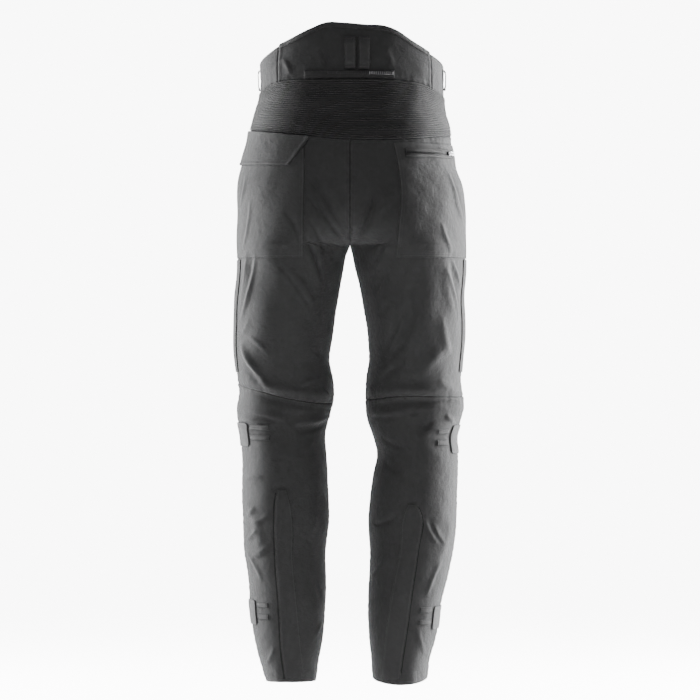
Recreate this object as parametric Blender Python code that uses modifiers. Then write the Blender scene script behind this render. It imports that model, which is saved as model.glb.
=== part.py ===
"""Motorcycle trousers in their worn shape, open at the waist and the hems, made piece by piece.

Lengths in the tables are millimetres. +Z is up, the front faces -Y and the wearer's left is +X.
The origin is the middle of the waist line, where the wearer's waist holds the garment up.
"""

import math

import bmesh
import bpy
import numpy as np
from mathutils import Matrix, Vector

MM = 0.001
LEFT, RIGHT = 1, -1
BACK, FRONT = 1, -1

# Driving sizes
WALL = 2.0
SEAM_GAP = 0.3
MERGE = 0.4
LIFT = 0.7
CROTCH = -281.0
SPLIT_START = -118.0
SPLIT_POWER = 2.4
TORSO_STEP = math.radians(7.5)
TORSO_RADIUS = 140.0
HALF_ROUND = 24
LEG_COLUMNS = 12
SHARP = math.radians(50)
WELD = 0.00001
PROBE_ANGLE, PROBE_HEIGHT = 0.01, 1.0

# Garment outline: half width on each side of the centre line
OUTSIDE = [
    # height, left, right
    (120, 158, 161),
    (65, 160, 164),
    (43, 162, 167),
    (10, 161, 168),
    (-18, 164, 169),
    (-43, 171, 172),
    (-68, 178, 179),
    (-94, 183, 182),
    (-119, 190, 187),
    (-144, 196, 191),
    (-169, 201, 200),
    (-220, 202, 206),
    (-270, 203, 208),
    (-320, 202, 208),
    (-371, 206, 205),
    (-421, 208, 206),
    (-455, 209, 205),
    (-497, 206, 202),
    (-522, 203, 200),
    (-547, 201, 203),
    (-572, 205, 206),
    (-598, 202, 200),
    (-623, 197, 193),
    (-660, 195, 195),
    (-749, 194, 193),
    (-825, 191, 187),
    (-875, 184, 176),
    (-925, 180, 164),
    (-976, 173, 156),
    (-1026, 162, 143),
    (-1066, 148, 137),
]

# Inseam of each leg, its distance from the centre line
INSIDE = [
    # height, left, right
    (-281, 0, 0),
    (-295, 6, 4),
    (-320, 12, 9),
    (-346, 17, 16),
    (-396, 25, 25),
    (-446, 32, 33),
    (-484, 37, 35),
    (-522, 30, 29),
    (-552, 29, 28),
    (-598, 39, 32),
    (-623, 44, 41),
    (-650, 43, 48),
    (-698, 40, 41),
    (-774, 38, 33),
    (-825, 43, 36),
    (-900, 43, 33),
    (-976, 47, 33),
    (-1026, 56, 38),
    (-1066, 61, 42),
]

# Depth of the rings: where their middle lies along Y, and how far they reach behind and in front
DEPTH = [
    # height, middle, behind, ahead
    (120, 4, 106, 108),
    (50, 2, 111, 110),
    (0, 0, 114, 113),
    (-45, 0, 118, 116),
    (-95, 2, 122, 119),
    (-150, 4, 131, 120),
    (-200, 5, 136, 119),
    (-245, 3, 133, 118),
    (-281, 0, 124, 116),
    (-330, -3, 113, 112),
    (-400, -8, 104, 106),
    (-470, -14, 95, 100),
    (-530, -19, 87, 95),
    (-570, -21, 82, 93),
    (-610, -20, 80, 88),
    (-650, -17, 80, 82),
    (-720, -12, 81, 78),
    (-800, -5, 79, 75),
    (-880, 3, 76, 72),
    (-960, 9, 72, 69),
    (-1066, 15, 68, 66),
]

# Seams that run round the body. Angles start at the left side seam and pass the centre back at 90
KIDNEY_TOP = [
    # angle, height
    (37.5, 74),
    (47, 82),
    (63, 99),
    (75, 110),
    (86, 109),
    (100, 106),
    (113, 104),
    (121, 97),
    (133, 80),
    (150, 61),
]
RIB_TOP = [(0, -9), (10, -5), (29, 5), (44, 10), (70, 10), (110, 10), (140, 4), (155, -5), (168, -12), (180, -18)]
RIB_FOOT = [(0, -73), (30, -78), (60, -87), (90, -96), (118, -95), (150, -88), (180, -84)]
SIDE_TOP = {
    LEFT: [(0, 45), (14, 53), (26, 62), (37.5, 73)],
    RIGHT: [(0, 40), (13, 49), (22, 55), (30, 60)],
}
FRONT_TOP = {LEFT: [(-90, 34), (-45, 37), (0, 45)], RIGHT: [(-90, 34), (-45, 36), (0, 40)]}
FRONT_FOOT = {LEFT: [(-90, -12), (-45, -12), (0, -9)], RIGHT: [(-90, -12), (-45, -14), (0, -18)]}
KNEE_SEAM = {
    LEFT: [(0, -527), (30, -535), (65, -545), (84, -552), (113, -560), (151, -564), (180, -563)],
    RIGHT: [(0, -551), (31, -553), (70, -551), (107, -551), (151, -557), (180, -558)],
}
HEM_LINE = {LEFT: [(0, -1061), (90, -1058), (180, -1060)], RIGHT: [(0, -1055), (90, -1063), (180, -1055)]}

# Heights of the rows of points in the long panels: from, to, step
BACK_ROWS = [(-96, -200, 21), (-200, -244, 15), (-244, -281, 9), (-281, -330, 16), (-330, -500, 24), (-500, -562, 12)]
CALF_ROWS = [(-552, -660, 15), (-660, -1059, 36)]
FRONT_ROWS = [(-12, -230, 44), (-230, -281, 13), (-281, -500, 37), (-500, -620, 20), (-620, -1059, 50)]

FOLD_STEPS = 10
FOLD_FADE = 0.7
CENTRE_EASE = 14.0

# Largest folds, as seen from behind or in front: a bowed line, with a ridge or, below 0, a trough
FOLDS = [
    # side, face, x1, z1, x2, z2, bow, half width, height
    (LEFT, BACK, 82, -155, 12, -276, 12, 10, -6.0),
    (LEFT, BACK, 58, -170, 20, -236, 6, 10, 2.5),
    (RIGHT, BACK, 43, -180, 8, -274, -6, 9, -5.5),
    (RIGHT, BACK, 62, -200, 30, -268, -6, 12, 3.0),
    (LEFT, BACK, 130, -318, 62, -405, 8, 11, 3.0),
    (LEFT, BACK, 74, -280, 44, -360, -5, 10, 3.0),
    (LEFT, BACK, 187, -300, 198, -400, 8, 11, 3.0),
    (LEFT, BACK, 194, -452, 160, -510, -7, 11, 4.0),
    (RIGHT, BACK, 113, -350, 60, -492, -16, 10, -5.0),
    (RIGHT, BACK, 74, -272, 42, -320, 4, 9, 3.0),
    (RIGHT, BACK, 172, -300, 196, -420, 10, 12, 3.5),
    (RIGHT, BACK, 180, -460, 120, -520, 6, 12, 4.0),
    (LEFT, BACK, 203, -516, 33, -550, -5, 9, 5.0),
    (LEFT, BACK, 203, -536, 36, -571, -5, 7, -5.0),
    (LEFT, BACK, 196, -584, 112, -592, 2, 9, 4.0),
    (LEFT, BACK, 98, -600, 44, -588, 2, 8, 4.0),
    (RIGHT, BACK, 200, -540, 32, -545, 4, 9, 5.5),
    (RIGHT, BACK, 196, -562, 40, -566, 4, 7, -5.5),
    (RIGHT, BACK, 188, -606, 118, -622, 4, 9, 4.0),
    (RIGHT, BACK, 106, -584, 36, -592, 4, 9, 4.0),
    (LEFT, BACK, 186, -740, 160, -838, 8, 11, 2.5),
    (RIGHT, BACK, 180, -760, 150, -850, -8, 11, 2.5),
    (LEFT, FRONT, 196, -600, 50, -590, 8, 11, -5.0),
    (RIGHT, FRONT, 196, -604, 46, -594, 8, 11, -5.0),
    (LEFT, FRONT, 190, -520, 60, -500, 8, 11, -3.5),
    (RIGHT, FRONT, 190, -524, 56, -506, 8, 11, -3.5),
    (LEFT, FRONT, 120, -235, 20, -285, 6, 11, -4.5),
    (RIGHT, FRONT, 120, -240, 20, -287, 6, 11, -4.5),
    (LEFT, FRONT, 150, -330, 40, -310, 6, 12, -3.5),
    (RIGHT, FRONT, 150, -336, 40, -314, 6, 12, -3.5),
]

# Ribs of the stretch panel
RIB_COUNT = 27
RIB_HEIGHT = 2.0
RIB_BACKING = 1.2
RIB_INSIDE_ROWS = 7

# Pocket patches: height, distance of the inner seam from the centre line
POCKETS = {
    LEFT: [(-106, 80), (-160, 80), (-230, 81), (-304, 83)],
    RIGHT: [(-101, 75), (-128, 81), (-170, 87), (-210, 88), (-251, 85), (-304, 81)],
}
POCKET_OUTER_ANGLE = 5.0
PATCH = 1.2
FLAP_LIFT = 2.5
FLAP = 2.2
FLAP_END = [(-80, 64), (-92, 70), (-120, 90), (-143, 107)]
FLAP_OUTER_ANGLE = 2.0
FLAP_UNDER_SEAM = 1.2
FLAP_FOOT, FLAP_DROP = -137.0, 6.0

# Calf plackets: height, outer edge, inner edge
CALF_PLACKETS = {
    LEFT: [(-716, 129, 113), (-742, 133, 106), (-770, 134, 102), (-845, 132, 101), (-910, 127, 95),
           (-960, 124, 90), (-1005, 121, 86), (-1052, 115, 80)],
    RIGHT: [(-742, 119, 103), (-762, 127, 95), (-825, 121, 89), (-893, 111, 76), (-966, 101, 65),
            (-1012, 94, 60), (-1054, 88, 57)],
}

# Strips with straight sides: side, heights of the top and foot, angles of the outer and inner ends
THIGH_PLACKETS = [
    (LEFT, -306, -508, 1.5, 21.0),
    (RIGHT, -306, -508, 1.5, 21.0),
]
KNEE_TABS = [(LEFT, -598, -641, 2.0, 38.0), (RIGHT, -602, -654, 2.0, 36.0)]
KNEE_BANDS = [
    (LEFT, "upper", -601, -611, 41.0, 73.0),
    (LEFT, "lower", -620, -629, 41.0, 73.0),
    (RIGHT, "upper", -610, -618, 40.0, 60.0),
    (RIGHT, "lower", -629, -639, 40.0, 60.0),
]
HEM_TABS = [(LEFT, -914, -959, 3.0, 34.0), (RIGHT, -925, -967, 3.0, 38.0)]
HEM_BANDS = [
    (LEFT, "upper", -918, -927, 38.0, 60.0),
    (LEFT, "lower", -938, -948, 38.0, 60.0),
    (RIGHT, "upper", -926, -936, 42.0, 66.0),
    (RIGHT, "lower", -948, -957, 42.0, 66.0),
]
BAND = 1.2
TAB = 1.6
TAB_LIFT = 0.9

# Connection zip, along the foot of the kidney panel
CONNECTION_ANGLES = (60.0, 118.0)
CONNECTION_TOP, CONNECTION_FOOT = 26.5, 13.0
CONNECTION_TAPE = 1.8

# Belt loops: angle of the middle, heights of the top and foot
BACK_LOOP_ANGLES = {"left": 90.0, "right": 98.5}
LOOP_TOP, LOOP_FOOT = 86.0, 29.0
LOOP_WIDTH = 20.0
SIDE_LOOP_ANGLES = {"left": 2.5, "right": 176.0}
SIDE_LOOP_TOP, SIDE_LOOP_FOOT = 34.0, -2.0
BACK_LOOP_STAND = 6.4
SIDE_LOOP_STAND = 2.4
LOOP_THICK = 1.4
LOOP_ROWS = 10
LOOP_RAMP = 0.24

# Waist: rows of points and thickness of the kidney panel
KIDNEY_ROWS, KIDNEY_THICK = 8, 3.0
KIDNEY_COLUMNS = (5, 20)
SIDE_ROWS = 5
BAND_COLUMNS, BAND_ROWS = 11, 4

# Right pocket zip
ZIP_TOP, ZIP_FOOT = -111.0, -127.0
ZIP_ANGLES = (15.0, 59.0)
ZIP_LIFT = 2.7
ZIP_TAPE = 1.0
SLIDER_ANGLE = 22.0
SLIDER_SIZE = (8.0, 7.0, 2.4)
SLIDER_GAP = 0.4
SLIDER_EDGE = 0.5
BRIDGE_HALF, BRIDGE_RISE = 2.4, 3.4
BRIDGE_FOOT = 2.0
BRIDGE_WIRE = 0.6
BRIDGE_STEPS = 10
PULL_LENGTH, PULL_WIDTH, PULL_THICK = 16.0, 7.0, 1.2
PULL_BAR = 1.2
PULL_CLEARANCE = 0.35
PULL_REST_TURN = math.radians(7.0)
PULL_CORNER = 1.0
SLOT_LENGTH, SLOT_MARGIN, SLOT_CORNER = 5.0, 1.3, 0.5
HOLE_FROM_END, HOLE_LENGTH, HOLE_HALF, HOLE_CORNER = 5.0, 2.8, 1.4, 1.3

# Front closure
FLY_ANGLES = (-78.0, -89.0)
FLY_TOP, FLY_FOOT = -16.0, -190.0
SNAP_RADIUS, SNAP_HEIGHT = 7.5, 2.4
SNAP_ANGLE, SNAP_AT_HEIGHT = -85.5, 12.0
SNAP_SIDES, SNAP_LIFT, SNAP_EDGE = 20, 0.4, 0.6

# Finishes: colour, roughness, metallic
FINISHES = {
    "shell_cloth": ((0.030, 0.030, 0.031), 0.78, 0.0),
    "rib_cloth": ((0.024, 0.024, 0.025), 0.62, 0.0),
    "kidney_cloth": ((0.026, 0.026, 0.027), 0.72, 0.0),
    "pocket_cloth": ((0.034, 0.034, 0.035), 0.74, 0.0),
    "webbing": ((0.020, 0.020, 0.021), 0.70, 0.0),
    "tab_fabric": ((0.075, 0.075, 0.076), 0.80, 0.0),
    "zip_tape": ((0.018, 0.018, 0.019), 0.70, 0.0),
    "zip_metal": ((0.42, 0.42, 0.43), 0.35, 1.0),
}


def column(table, index):
    """One column of a table as an array."""
    return np.array([row[index] for row in table], dtype=float)


def curve(table, index, at):
    """Smooth value of a column at each place in the first one: cubics whose slopes follow the neighbours."""
    place, value = column(table, 0), column(table, index)
    if place[0] > place[-1]:
        place, value = place[::-1], value[::-1]
    slope = np.gradient(value, place)
    at = np.clip(np.asarray(at, dtype=float), place[0], place[-1])
    i = np.clip(np.searchsorted(place, at) - 1, 0, len(place) - 2)
    step = place[i + 1] - place[i]
    t = (at - place[i]) / step
    start = value[i] * (1 + 2 * t) * (1 - t) ** 2 + slope[i] * step * t * (1 - t) ** 2
    end = value[i + 1] * (3 - 2 * t) * t**2 - slope[i + 1] * step * t**2 * (1 - t)
    return start + end


def ring(side, height):
    """Centre and half width of one leg's ring; above the crotch the ring grows until both sides share one."""
    index = 1 if side == LEFT else 2
    outer = curve(OUTSIDE, index, height)
    rise = np.clip((SPLIT_START - height) / (SPLIT_START - CROTCH), 0.0, 1.0)
    above = -outer * (1.0 - rise**SPLIT_POWER)
    inner = np.where(height >= CROTCH, above, curve(INSIDE, index, height))
    return (outer + inner) / 2, (outer - inner) / 2


def plain_point(side, angle, height):
    """Point of the cloth without folds: x from the ring's width, y from its depth behind or in front."""
    centre, half = ring(side, height)
    middle = curve(DEPTH, 1, height)
    reach = np.where(angle >= 0, curve(DEPTH, 2, height), curve(DEPTH, 3, height))
    x = side * (centre + half * np.cos(angle))
    y = middle + reach * np.sin(angle)
    return np.stack([x, y, np.broadcast_to(height, x.shape)], axis=-1)


def outward(side, angle, height):
    """Unit direction out of the cloth, from small steps round the ring and down it."""
    around = plain_point(side, angle + PROBE_ANGLE, height) - plain_point(side, angle - PROBE_ANGLE, height)
    upward = plain_point(side, angle, height + PROBE_HEIGHT) - plain_point(side, angle, height - PROBE_HEIGHT)
    normal = np.cross(around, upward) * side
    return normal / np.linalg.norm(normal, axis=-1, keepdims=True)


def seen_angle(side, face, x, height):
    """Angle of the point that lies at distance x from the centre line, on the back or on the front."""
    centre, half = ring(side, height)
    return face * np.arccos(np.clip((x - centre) / half, -1.0, 1.0))


def fold_line(side, face, x1, z1, x2, z2, bow):
    """Points of a fold's bowed line on the plain cloth, and their share of the way along it."""
    share = np.linspace(0.0, 1.0, FOLD_STEPS + 1)
    length = math.hypot(x2 - x1, z2 - z1)
    push = bow * 4 * share * (1 - share)
    x = x1 + (x2 - x1) * share + (z2 - z1) / length * push
    z = z1 + (z2 - z1) * share - (x2 - x1) / length * push
    return plain_point(side, seen_angle(side, face, x, z), z), share


def fold_height(side, points):
    """Sum of the folds: a bell across each bowed line, faded to nothing at its ends and at the centre seam."""
    total = np.zeros(points.shape[:-1])
    for fold_side, face, x1, z1, x2, z2, bow, half_width, size in FOLDS:
        if fold_side != side:
            continue
        line, share = fold_line(side, face, x1, z1, x2, z2, bow)
        nearest = np.full(total.shape, np.inf)
        along = np.zeros(total.shape)
        for k in range(FOLD_STEPS):
            step = line[k + 1] - line[k]
            t = np.clip(((points - line[k]) @ step) / (step @ step), 0.0, 1.0)
            off = np.linalg.norm(points - line[k] - t[..., None] * step, axis=-1)
            along = np.where(off < nearest, (k + t) / FOLD_STEPS, along)
            nearest = np.minimum(nearest, off)
        fade = np.sin(math.pi * along) ** FOLD_FADE
        total += size * np.exp(-((nearest / half_width) ** 2)) * fade
    ease = np.clip(np.abs(points[..., 0]) / CENTRE_EASE, 0.0, 1.0)
    return total * ease * ease * (3 - 2 * ease)


def cloth_point(side, angle, height, lift):
    """Point of the worn cloth, moved out along its normal by the folds and by lift."""
    angle, height = np.broadcast_arrays(np.asarray(angle, float), np.asarray(height, float))
    points = plain_point(side, angle, height)
    move = fold_height(side, points) + lift
    return points + outward(side, angle, height) * move[..., None]


def torso_point(turn, height, lift):
    """Point above the seat, with the angle running from the left side seam over the back to the right."""
    turn, height, lift = np.broadcast_arrays(turn, height, lift)
    left = cloth_point(LEFT, turn, height, lift)
    right = cloth_point(RIGHT, math.pi - turn, height, lift)
    return np.where((turn <= math.pi / 2)[..., None], left, right)


def last_angle(side, height):
    """Angle where a ring meets the centre seam above the crotch, or the inseam below it."""
    centre, half = ring(side, height)
    return np.arccos(np.clip((SEAM_GAP / 2 - centre) / half, -1.0, 1.0))


def gap_angle(height):
    """Angle that leaves half a seam gap at the side seam and the inseam."""
    return SEAM_GAP / 2 / curve(DEPTH, 3, height)


def degrees_curve(table, angle):
    """Height of a seam at an angle in radians."""
    return curve(table, 1, np.degrees(angle))


def row_shares(segments):
    """Places of the rows from 0 at the top to 1 at the foot, from lists of from, to and step."""
    heights = []
    for start, stop, step in segments:
        count = max(1, round(abs(stop - start) / step))
        heights += [start + (stop - start) * k / count for k in range(count)]
    heights.append(segments[-1][1])
    heights = np.array(heights)
    return (heights - heights[0]) / (heights[-1] - heights[0])


def finish(name):
    """Material of a finish, made once."""
    material = bpy.data.materials.get(name)
    if material is None:
        colour, roughness, metallic = FINISHES[name]
        material = bpy.data.materials.new(name)
        material.use_nodes = True
        shader = material.node_tree.nodes["Principled BSDF"]
        shader.inputs["Base Color"].default_value = (*colour, 1.0)
        shader.inputs["Roughness"].default_value = roughness
        shader.inputs["Metallic"].default_value = metallic
        material.diffuse_color = (*colour, 1.0)
    return material


def add_object(name, mesh, material, collection):
    """New object with its material, in its collection."""
    mesh.materials.clear()
    mesh.materials.append(finish(material))
    thing = bpy.data.objects.new(name, mesh)
    collection.objects.link(thing)
    return thing


def grid_faces(rows, columns, start=0):
    """Corner numbers of the squares of a grid of points."""
    i, j = np.meshgrid(np.arange(rows - 1), np.arange(columns - 1), indexing="ij")
    corner = start + i * columns + j
    faces = np.stack([corner, corner + columns, corner + columns + 1, corner + 1], axis=-1)
    return faces.reshape(-1, 4).tolist()


def wall(name, outer, inner, material, collection):
    """Closed cloth wall between an outer and an inner grid, which share their columns but not their rows."""
    rows, columns = outer.shape[:2]
    inner_rows = inner.shape[0]
    start = rows * columns
    faces = grid_faces(rows, columns)
    faces += [face[::-1] for face in grid_faces(inner_rows, columns, start)]
    top_out, top_in = np.arange(columns), start + np.arange(columns)
    foot_out = (rows - 1) * columns + np.arange(columns)
    foot_in = start + (inner_rows - 1) * columns + np.arange(columns)
    for j in range(columns - 1):
        faces.append([int(v) for v in (top_out[j], top_out[j + 1], top_in[j + 1], top_in[j])])
        faces.append([int(v) for v in (foot_out[j + 1], foot_out[j], foot_in[j], foot_in[j + 1])])
    for j in (0, columns - 1):
        down = [i * columns + j for i in range(rows)]
        up = [start + i * columns + j for i in range(inner_rows)]
        if rows == inner_rows:
            faces += [[down[i], up[i], up[i + 1], down[i + 1]] for i in range(rows - 1)]
        else:
            faces.append(down + up[::-1])
    points = np.concatenate([outer.reshape(-1, 3), inner.reshape(-1, 3)]) * MM
    mesh = bpy.data.meshes.new(name)
    mesh.from_pydata(points.tolist(), [], faces)
    shape = bmesh.new()
    shape.from_mesh(mesh)
    bmesh.ops.recalc_face_normals(shape, faces=shape.faces)
    shape.to_mesh(mesh)
    shape.free()
    mesh.set_sharp_from_angle(angle=SHARP)
    return add_object(name, mesh, material, collection)


def shell(name, grid, panel, thickness, material, collection):
    """Applied piece: an open grid on its outer face, which Solidify thickens towards the cloth."""
    faces = grid_faces(*grid.shape[:2])
    if panel is not None and panel.side * panel.face < 0:
        faces = [face[::-1] for face in faces]
    mesh = bpy.data.meshes.new(name)
    mesh.from_pydata((grid.reshape(-1, 3) * MM).tolist(), [], faces)
    shape = bmesh.new()
    shape.from_mesh(mesh)
    bmesh.ops.remove_doubles(shape, verts=shape.verts, dist=MERGE * MM)
    loose = [edge for edge in shape.edges if not edge.link_faces]
    bmesh.ops.delete(shape, geom=loose, context="EDGES")
    shape.to_mesh(mesh)
    shape.free()
    mesh.shade_smooth()
    thing = add_object(name, mesh, material, collection)
    solid = thing.modifiers.new("thickness", "SOLIDIFY")
    solid.thickness = thickness * MM
    solid.offset = -1.0
    return thing


def side_name(side):
    """Word for the wearer's side."""
    return "left" if side == LEFT else "right"


class Panel:
    """Long panel of one leg: its points lie on lines between its side edges and between its top and its foot."""

    def __init__(self, side, face, top, foot, rows, at_waist):
        self.side, self.face, self.top, self.foot = side, face, top, foot
        self.turn = math.pi / 2 if at_waist else math.pi
        self.across = np.linspace(0.0, 1.0, LEG_COLUMNS + 1)[None, :]
        self.down = row_shares(rows)[:, None]

    def edges(self, across):
        """Heights of the top edge and of the foot, half a seam gap inside the seams."""
        top = degrees_curve(self.top, self.face * across * self.turn) - SEAM_GAP / 2
        foot = degrees_curve(self.foot, across * math.pi) + SEAM_GAP / 2
        return top, foot

    def angle(self, across, height):
        """Angle at a share of the way across."""
        gap = gap_angle(height)
        ends = np.where(height < CROTCH, 2.0, 1.0)
        return self.face * (gap + across * (last_angle(self.side, height) - gap * ends))

    def height(self, across, down):
        """Height at a share of the way down."""
        top, foot = self.edges(across)
        return top + (foot - top) * down

    def points(self, lift):
        """Grid of points, moved out by lift."""
        height = self.height(self.across, self.down)
        return cloth_point(self.side, self.angle(self.across, height), height, lift)

    def share_across(self, angle, height):
        """Share of the way across of an angle at a height."""
        gap = gap_angle(height)
        ends = np.where(height < CROTCH, 2.0, 1.0)
        return (np.abs(angle) - gap) / (last_angle(self.side, height) - gap * ends)

    def share_down(self, across, height):
        """Share of the way down of a height."""
        top, foot = self.edges(across)
        return (height - top) / (foot - top)

    def piece(self, top, foot, outer, inner, lift):
        """Grid of an applied piece: the panel's own lines, held between the piece's edges, moved out by lift.

        The edges are functions: top and foot give a height from an angle, outer and inner an angle from a height.
        """
        points = self.points(lift)
        start_across, start_down = np.broadcast_arrays(self.across, self.down)
        across, down = start_across, start_down
        for _ in range(8):
            height = self.height(across, down)
            across = np.clip(start_across, self.share_across(outer(height), height),
                             self.share_across(inner(height), height))
            angle = self.angle(across, height)
            wanted = np.clip(self.height(across, start_down), foot(angle), top(angle))
            down = self.share_down(across, wanted)
        return between(points, self.down[:, 0], across, down)


def between(points, row_places, across, down):
    """Points inside the squares of a grid, each mixed from the four corners of its square."""
    columns = points.shape[1] - 1
    j = np.clip((across * columns).astype(int), 0, columns - 1)
    i = np.clip(np.searchsorted(row_places, down) - 1, 0, len(row_places) - 2)
    a = (across * columns - j)[..., None]
    d = ((down - row_places[i]) / (row_places[i + 1] - row_places[i]))[..., None]
    upper = points[i, j] * (1 - a) + points[i, j + 1] * a
    lower = points[i + 1, j] * (1 - a) + points[i + 1, j + 1] * a
    return upper * (1 - d) + lower * d


def long_panel(name, panel, collection):
    """Front, back or lower leg panel as a wall between its seams."""
    return wall(name, panel.points(0.0), panel.points(-WALL), "shell_cloth", collection)


def back_top(side):
    """Foot of the ribbed panel, as seen from one side: its angles start at that side's seam."""
    if side == LEFT:
        return RIB_FOOT
    return [(180 - angle, height) for angle, height in reversed(RIB_FOOT)]


def torso_columns(start, stop):
    """Angles of the shared torso columns from one number to another, with half a seam gap at both ends."""
    angles = TORSO_STEP * np.arange(start, stop + 1)
    half_gap = SEAM_GAP / 2 / TORSO_RADIUS
    angles[0] += half_gap
    angles[-1] -= half_gap
    return angles


def rib_panel(collection):
    """Stretch panel: round ribs across the outer points, over a plain inside."""
    turn = torso_columns(0, HALF_ROUND)[None, :]
    top = degrees_curve(RIB_TOP, turn) - SEAM_GAP / 2
    foot = degrees_curve(RIB_FOOT, turn) + SEAM_GAP / 2
    rows = 2 * RIB_COUNT + 1
    share = np.linspace(0.0, 1.0, rows)[:, None]
    crest = (np.arange(rows) % 2)[:, None] * RIB_HEIGHT
    outer = torso_point(turn, top + (foot - top) * share, crest)
    share = np.linspace(0.0, 1.0, RIB_INSIDE_ROWS)[:, None]
    inner = torso_point(turn, top + (foot - top) * share, -RIB_BACKING)
    return wall("rib_panel", outer, inner, "rib_cloth", collection)


def waist_piece(name, columns, top_table, foot_table, rows, thickness, material, collection):
    """Piece of the waist above the ribbed panel, between two of the torso columns."""
    turn = torso_columns(*columns)[None, :]
    top = degrees_curve(top_table, turn)
    foot = degrees_curve(foot_table, turn) + SEAM_GAP / 2
    share = np.linspace(0.0, 1.0, rows)[:, None]
    height = top + (foot - top) * share
    outer = torso_point(turn, height, 0.0)
    inner = torso_point(turn, height, -thickness)
    return wall(name, outer, inner, material, collection)


def front_waistband(side, collection):
    """Front half of the waistband, from the side seam to the centre front."""
    across = np.linspace(0.0, 1.0, BAND_COLUMNS)[None, :]
    top = degrees_curve(FRONT_TOP[side], -across * math.pi / 2)
    foot = degrees_curve(FRONT_FOOT[side], -across * math.pi / 2) + SEAM_GAP / 2
    height = top + (foot - top) * np.linspace(0.0, 1.0, BAND_ROWS)[:, None]
    gap = gap_angle(height)
    angle = -(gap + across * (last_angle(side, height) - gap))
    outer = cloth_point(side, angle, height, 0.0)
    inner = cloth_point(side, angle, height, -WALL)
    return wall(f"waistband_front_{side_name(side)}", outer, inner, "shell_cloth", collection)


def fixed(value):
    """Edge that stays at one value."""
    return lambda place: np.full(np.shape(place), float(value))


def seen_edge(side, table, index):
    """Edge given by its distances from the centre line, as an angle for each height."""
    return lambda height: seen_angle(side, BACK, curve(table, index, height), height)


def strip(name, panel, top, foot, outer, inner, lift, thickness, material, collection):
    """Straight strip on a panel between two heights and two angles in degrees."""
    grid = panel.piece(fixed(top), fixed(foot), fixed(math.radians(outer)), fixed(math.radians(inner)),
                       lift + thickness)
    return shell(name, grid, panel, thickness, material, collection)


def pocket_patch(panel, collection):
    """Cargo pocket patch, from near the side seam to its inner seam."""
    table = POCKETS[panel.side]
    grid = panel.piece(fixed(table[0][0]), fixed(table[-1][0]), fixed(math.radians(POCKET_OUTER_ANGLE)),
                       seen_edge(panel.side, table, 1), LIFT + PATCH)
    return shell(f"pocket_{side_name(panel.side)}", grid, panel, PATCH, "pocket_cloth", collection)


def pocket_flap(panel, collection):
    """Flap over the left pocket: sewn on under the ribs, slanting back at its inner end."""
    def top(angle):
        return degrees_curve(RIB_FOOT, angle) - FLAP_UNDER_SEAM

    def foot(angle):
        return FLAP_FOOT - FLAP_DROP * np.sin(angle)

    grid = panel.piece(top, foot, fixed(math.radians(FLAP_OUTER_ANGLE)), seen_edge(panel.side, FLAP_END, 1),
                       FLAP_LIFT + FLAP)
    return shell("pocket_flap", grid, panel, FLAP, "pocket_cloth", collection)


def calf_placket(panel, collection):
    """Placket up the middle of the lower leg, with a slanted top, from under the calf seam to the hem."""
    side, table = panel.side, CALF_PLACKETS[panel.side]
    grid = panel.piece(fixed(table[0][0]), fixed(table[-1][0]), seen_edge(side, table, 1),
                       seen_edge(side, table, 2), LIFT + BAND)
    return shell(f"calf_placket_{side_name(side)}", grid, panel, BAND, "shell_cloth", collection)


def belt_loop(name, middle, top, foot, stand_off, collection):
    """Belt loop: flat on the cloth at its two sewn ends, arched away from it between them."""
    share = np.linspace(0.0, 1.0, LOOP_ROWS)
    height = top + (foot - top) * share
    rise = np.clip(np.minimum(share, 1.0 - share) / LOOP_RAMP, 0.0, 1.0)
    stand = LIFT + LOOP_THICK + stand_off * rise * rise * (3 - 2 * rise)
    centre = torso_point(math.radians(middle), height, stand)
    before = torso_point(math.radians(middle) - PROBE_ANGLE, height, stand)
    along = centre - before
    along /= np.linalg.norm(along, axis=-1, keepdims=True)
    across = np.linspace(-0.5, 0.5, 3)[None, :, None] * LOOP_WIDTH
    grid = centre[:, None, :] + along[:, None, :] * across
    return shell(name, grid, None, LOOP_THICK, "webbing", collection)


def connection_zip(collection):
    """Tape of the connection zip, on the foot of the kidney panel."""
    start, stop = (math.radians(a) for a in CONNECTION_ANGLES)
    turn = np.linspace(start, stop, 9)[None, :]
    height = np.linspace(CONNECTION_TOP, CONNECTION_FOOT, 3)[:, None]
    grid = torso_point(turn, height, LIFT + CONNECTION_TAPE)
    return shell("connection_zip", grid, None, CONNECTION_TAPE, "zip_tape", collection)


def local_frame(side, angle, height, lift):
    """Place and right-handed axes on the cloth: round it towards the side seam, along it, and out of it."""
    place = cloth_point(side, angle, height, lift)
    out = Vector(outward(side, angle, height))
    back = cloth_point(side, angle + PROBE_ANGLE, height, lift)
    along = Vector(place - back)
    along = (along - out * along.dot(out)).normalized()
    across = out.cross(along)
    turned = Matrix((along, across, out)).transposed().to_4x4()
    turned.translation = Vector(place) * MM
    return turned


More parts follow.
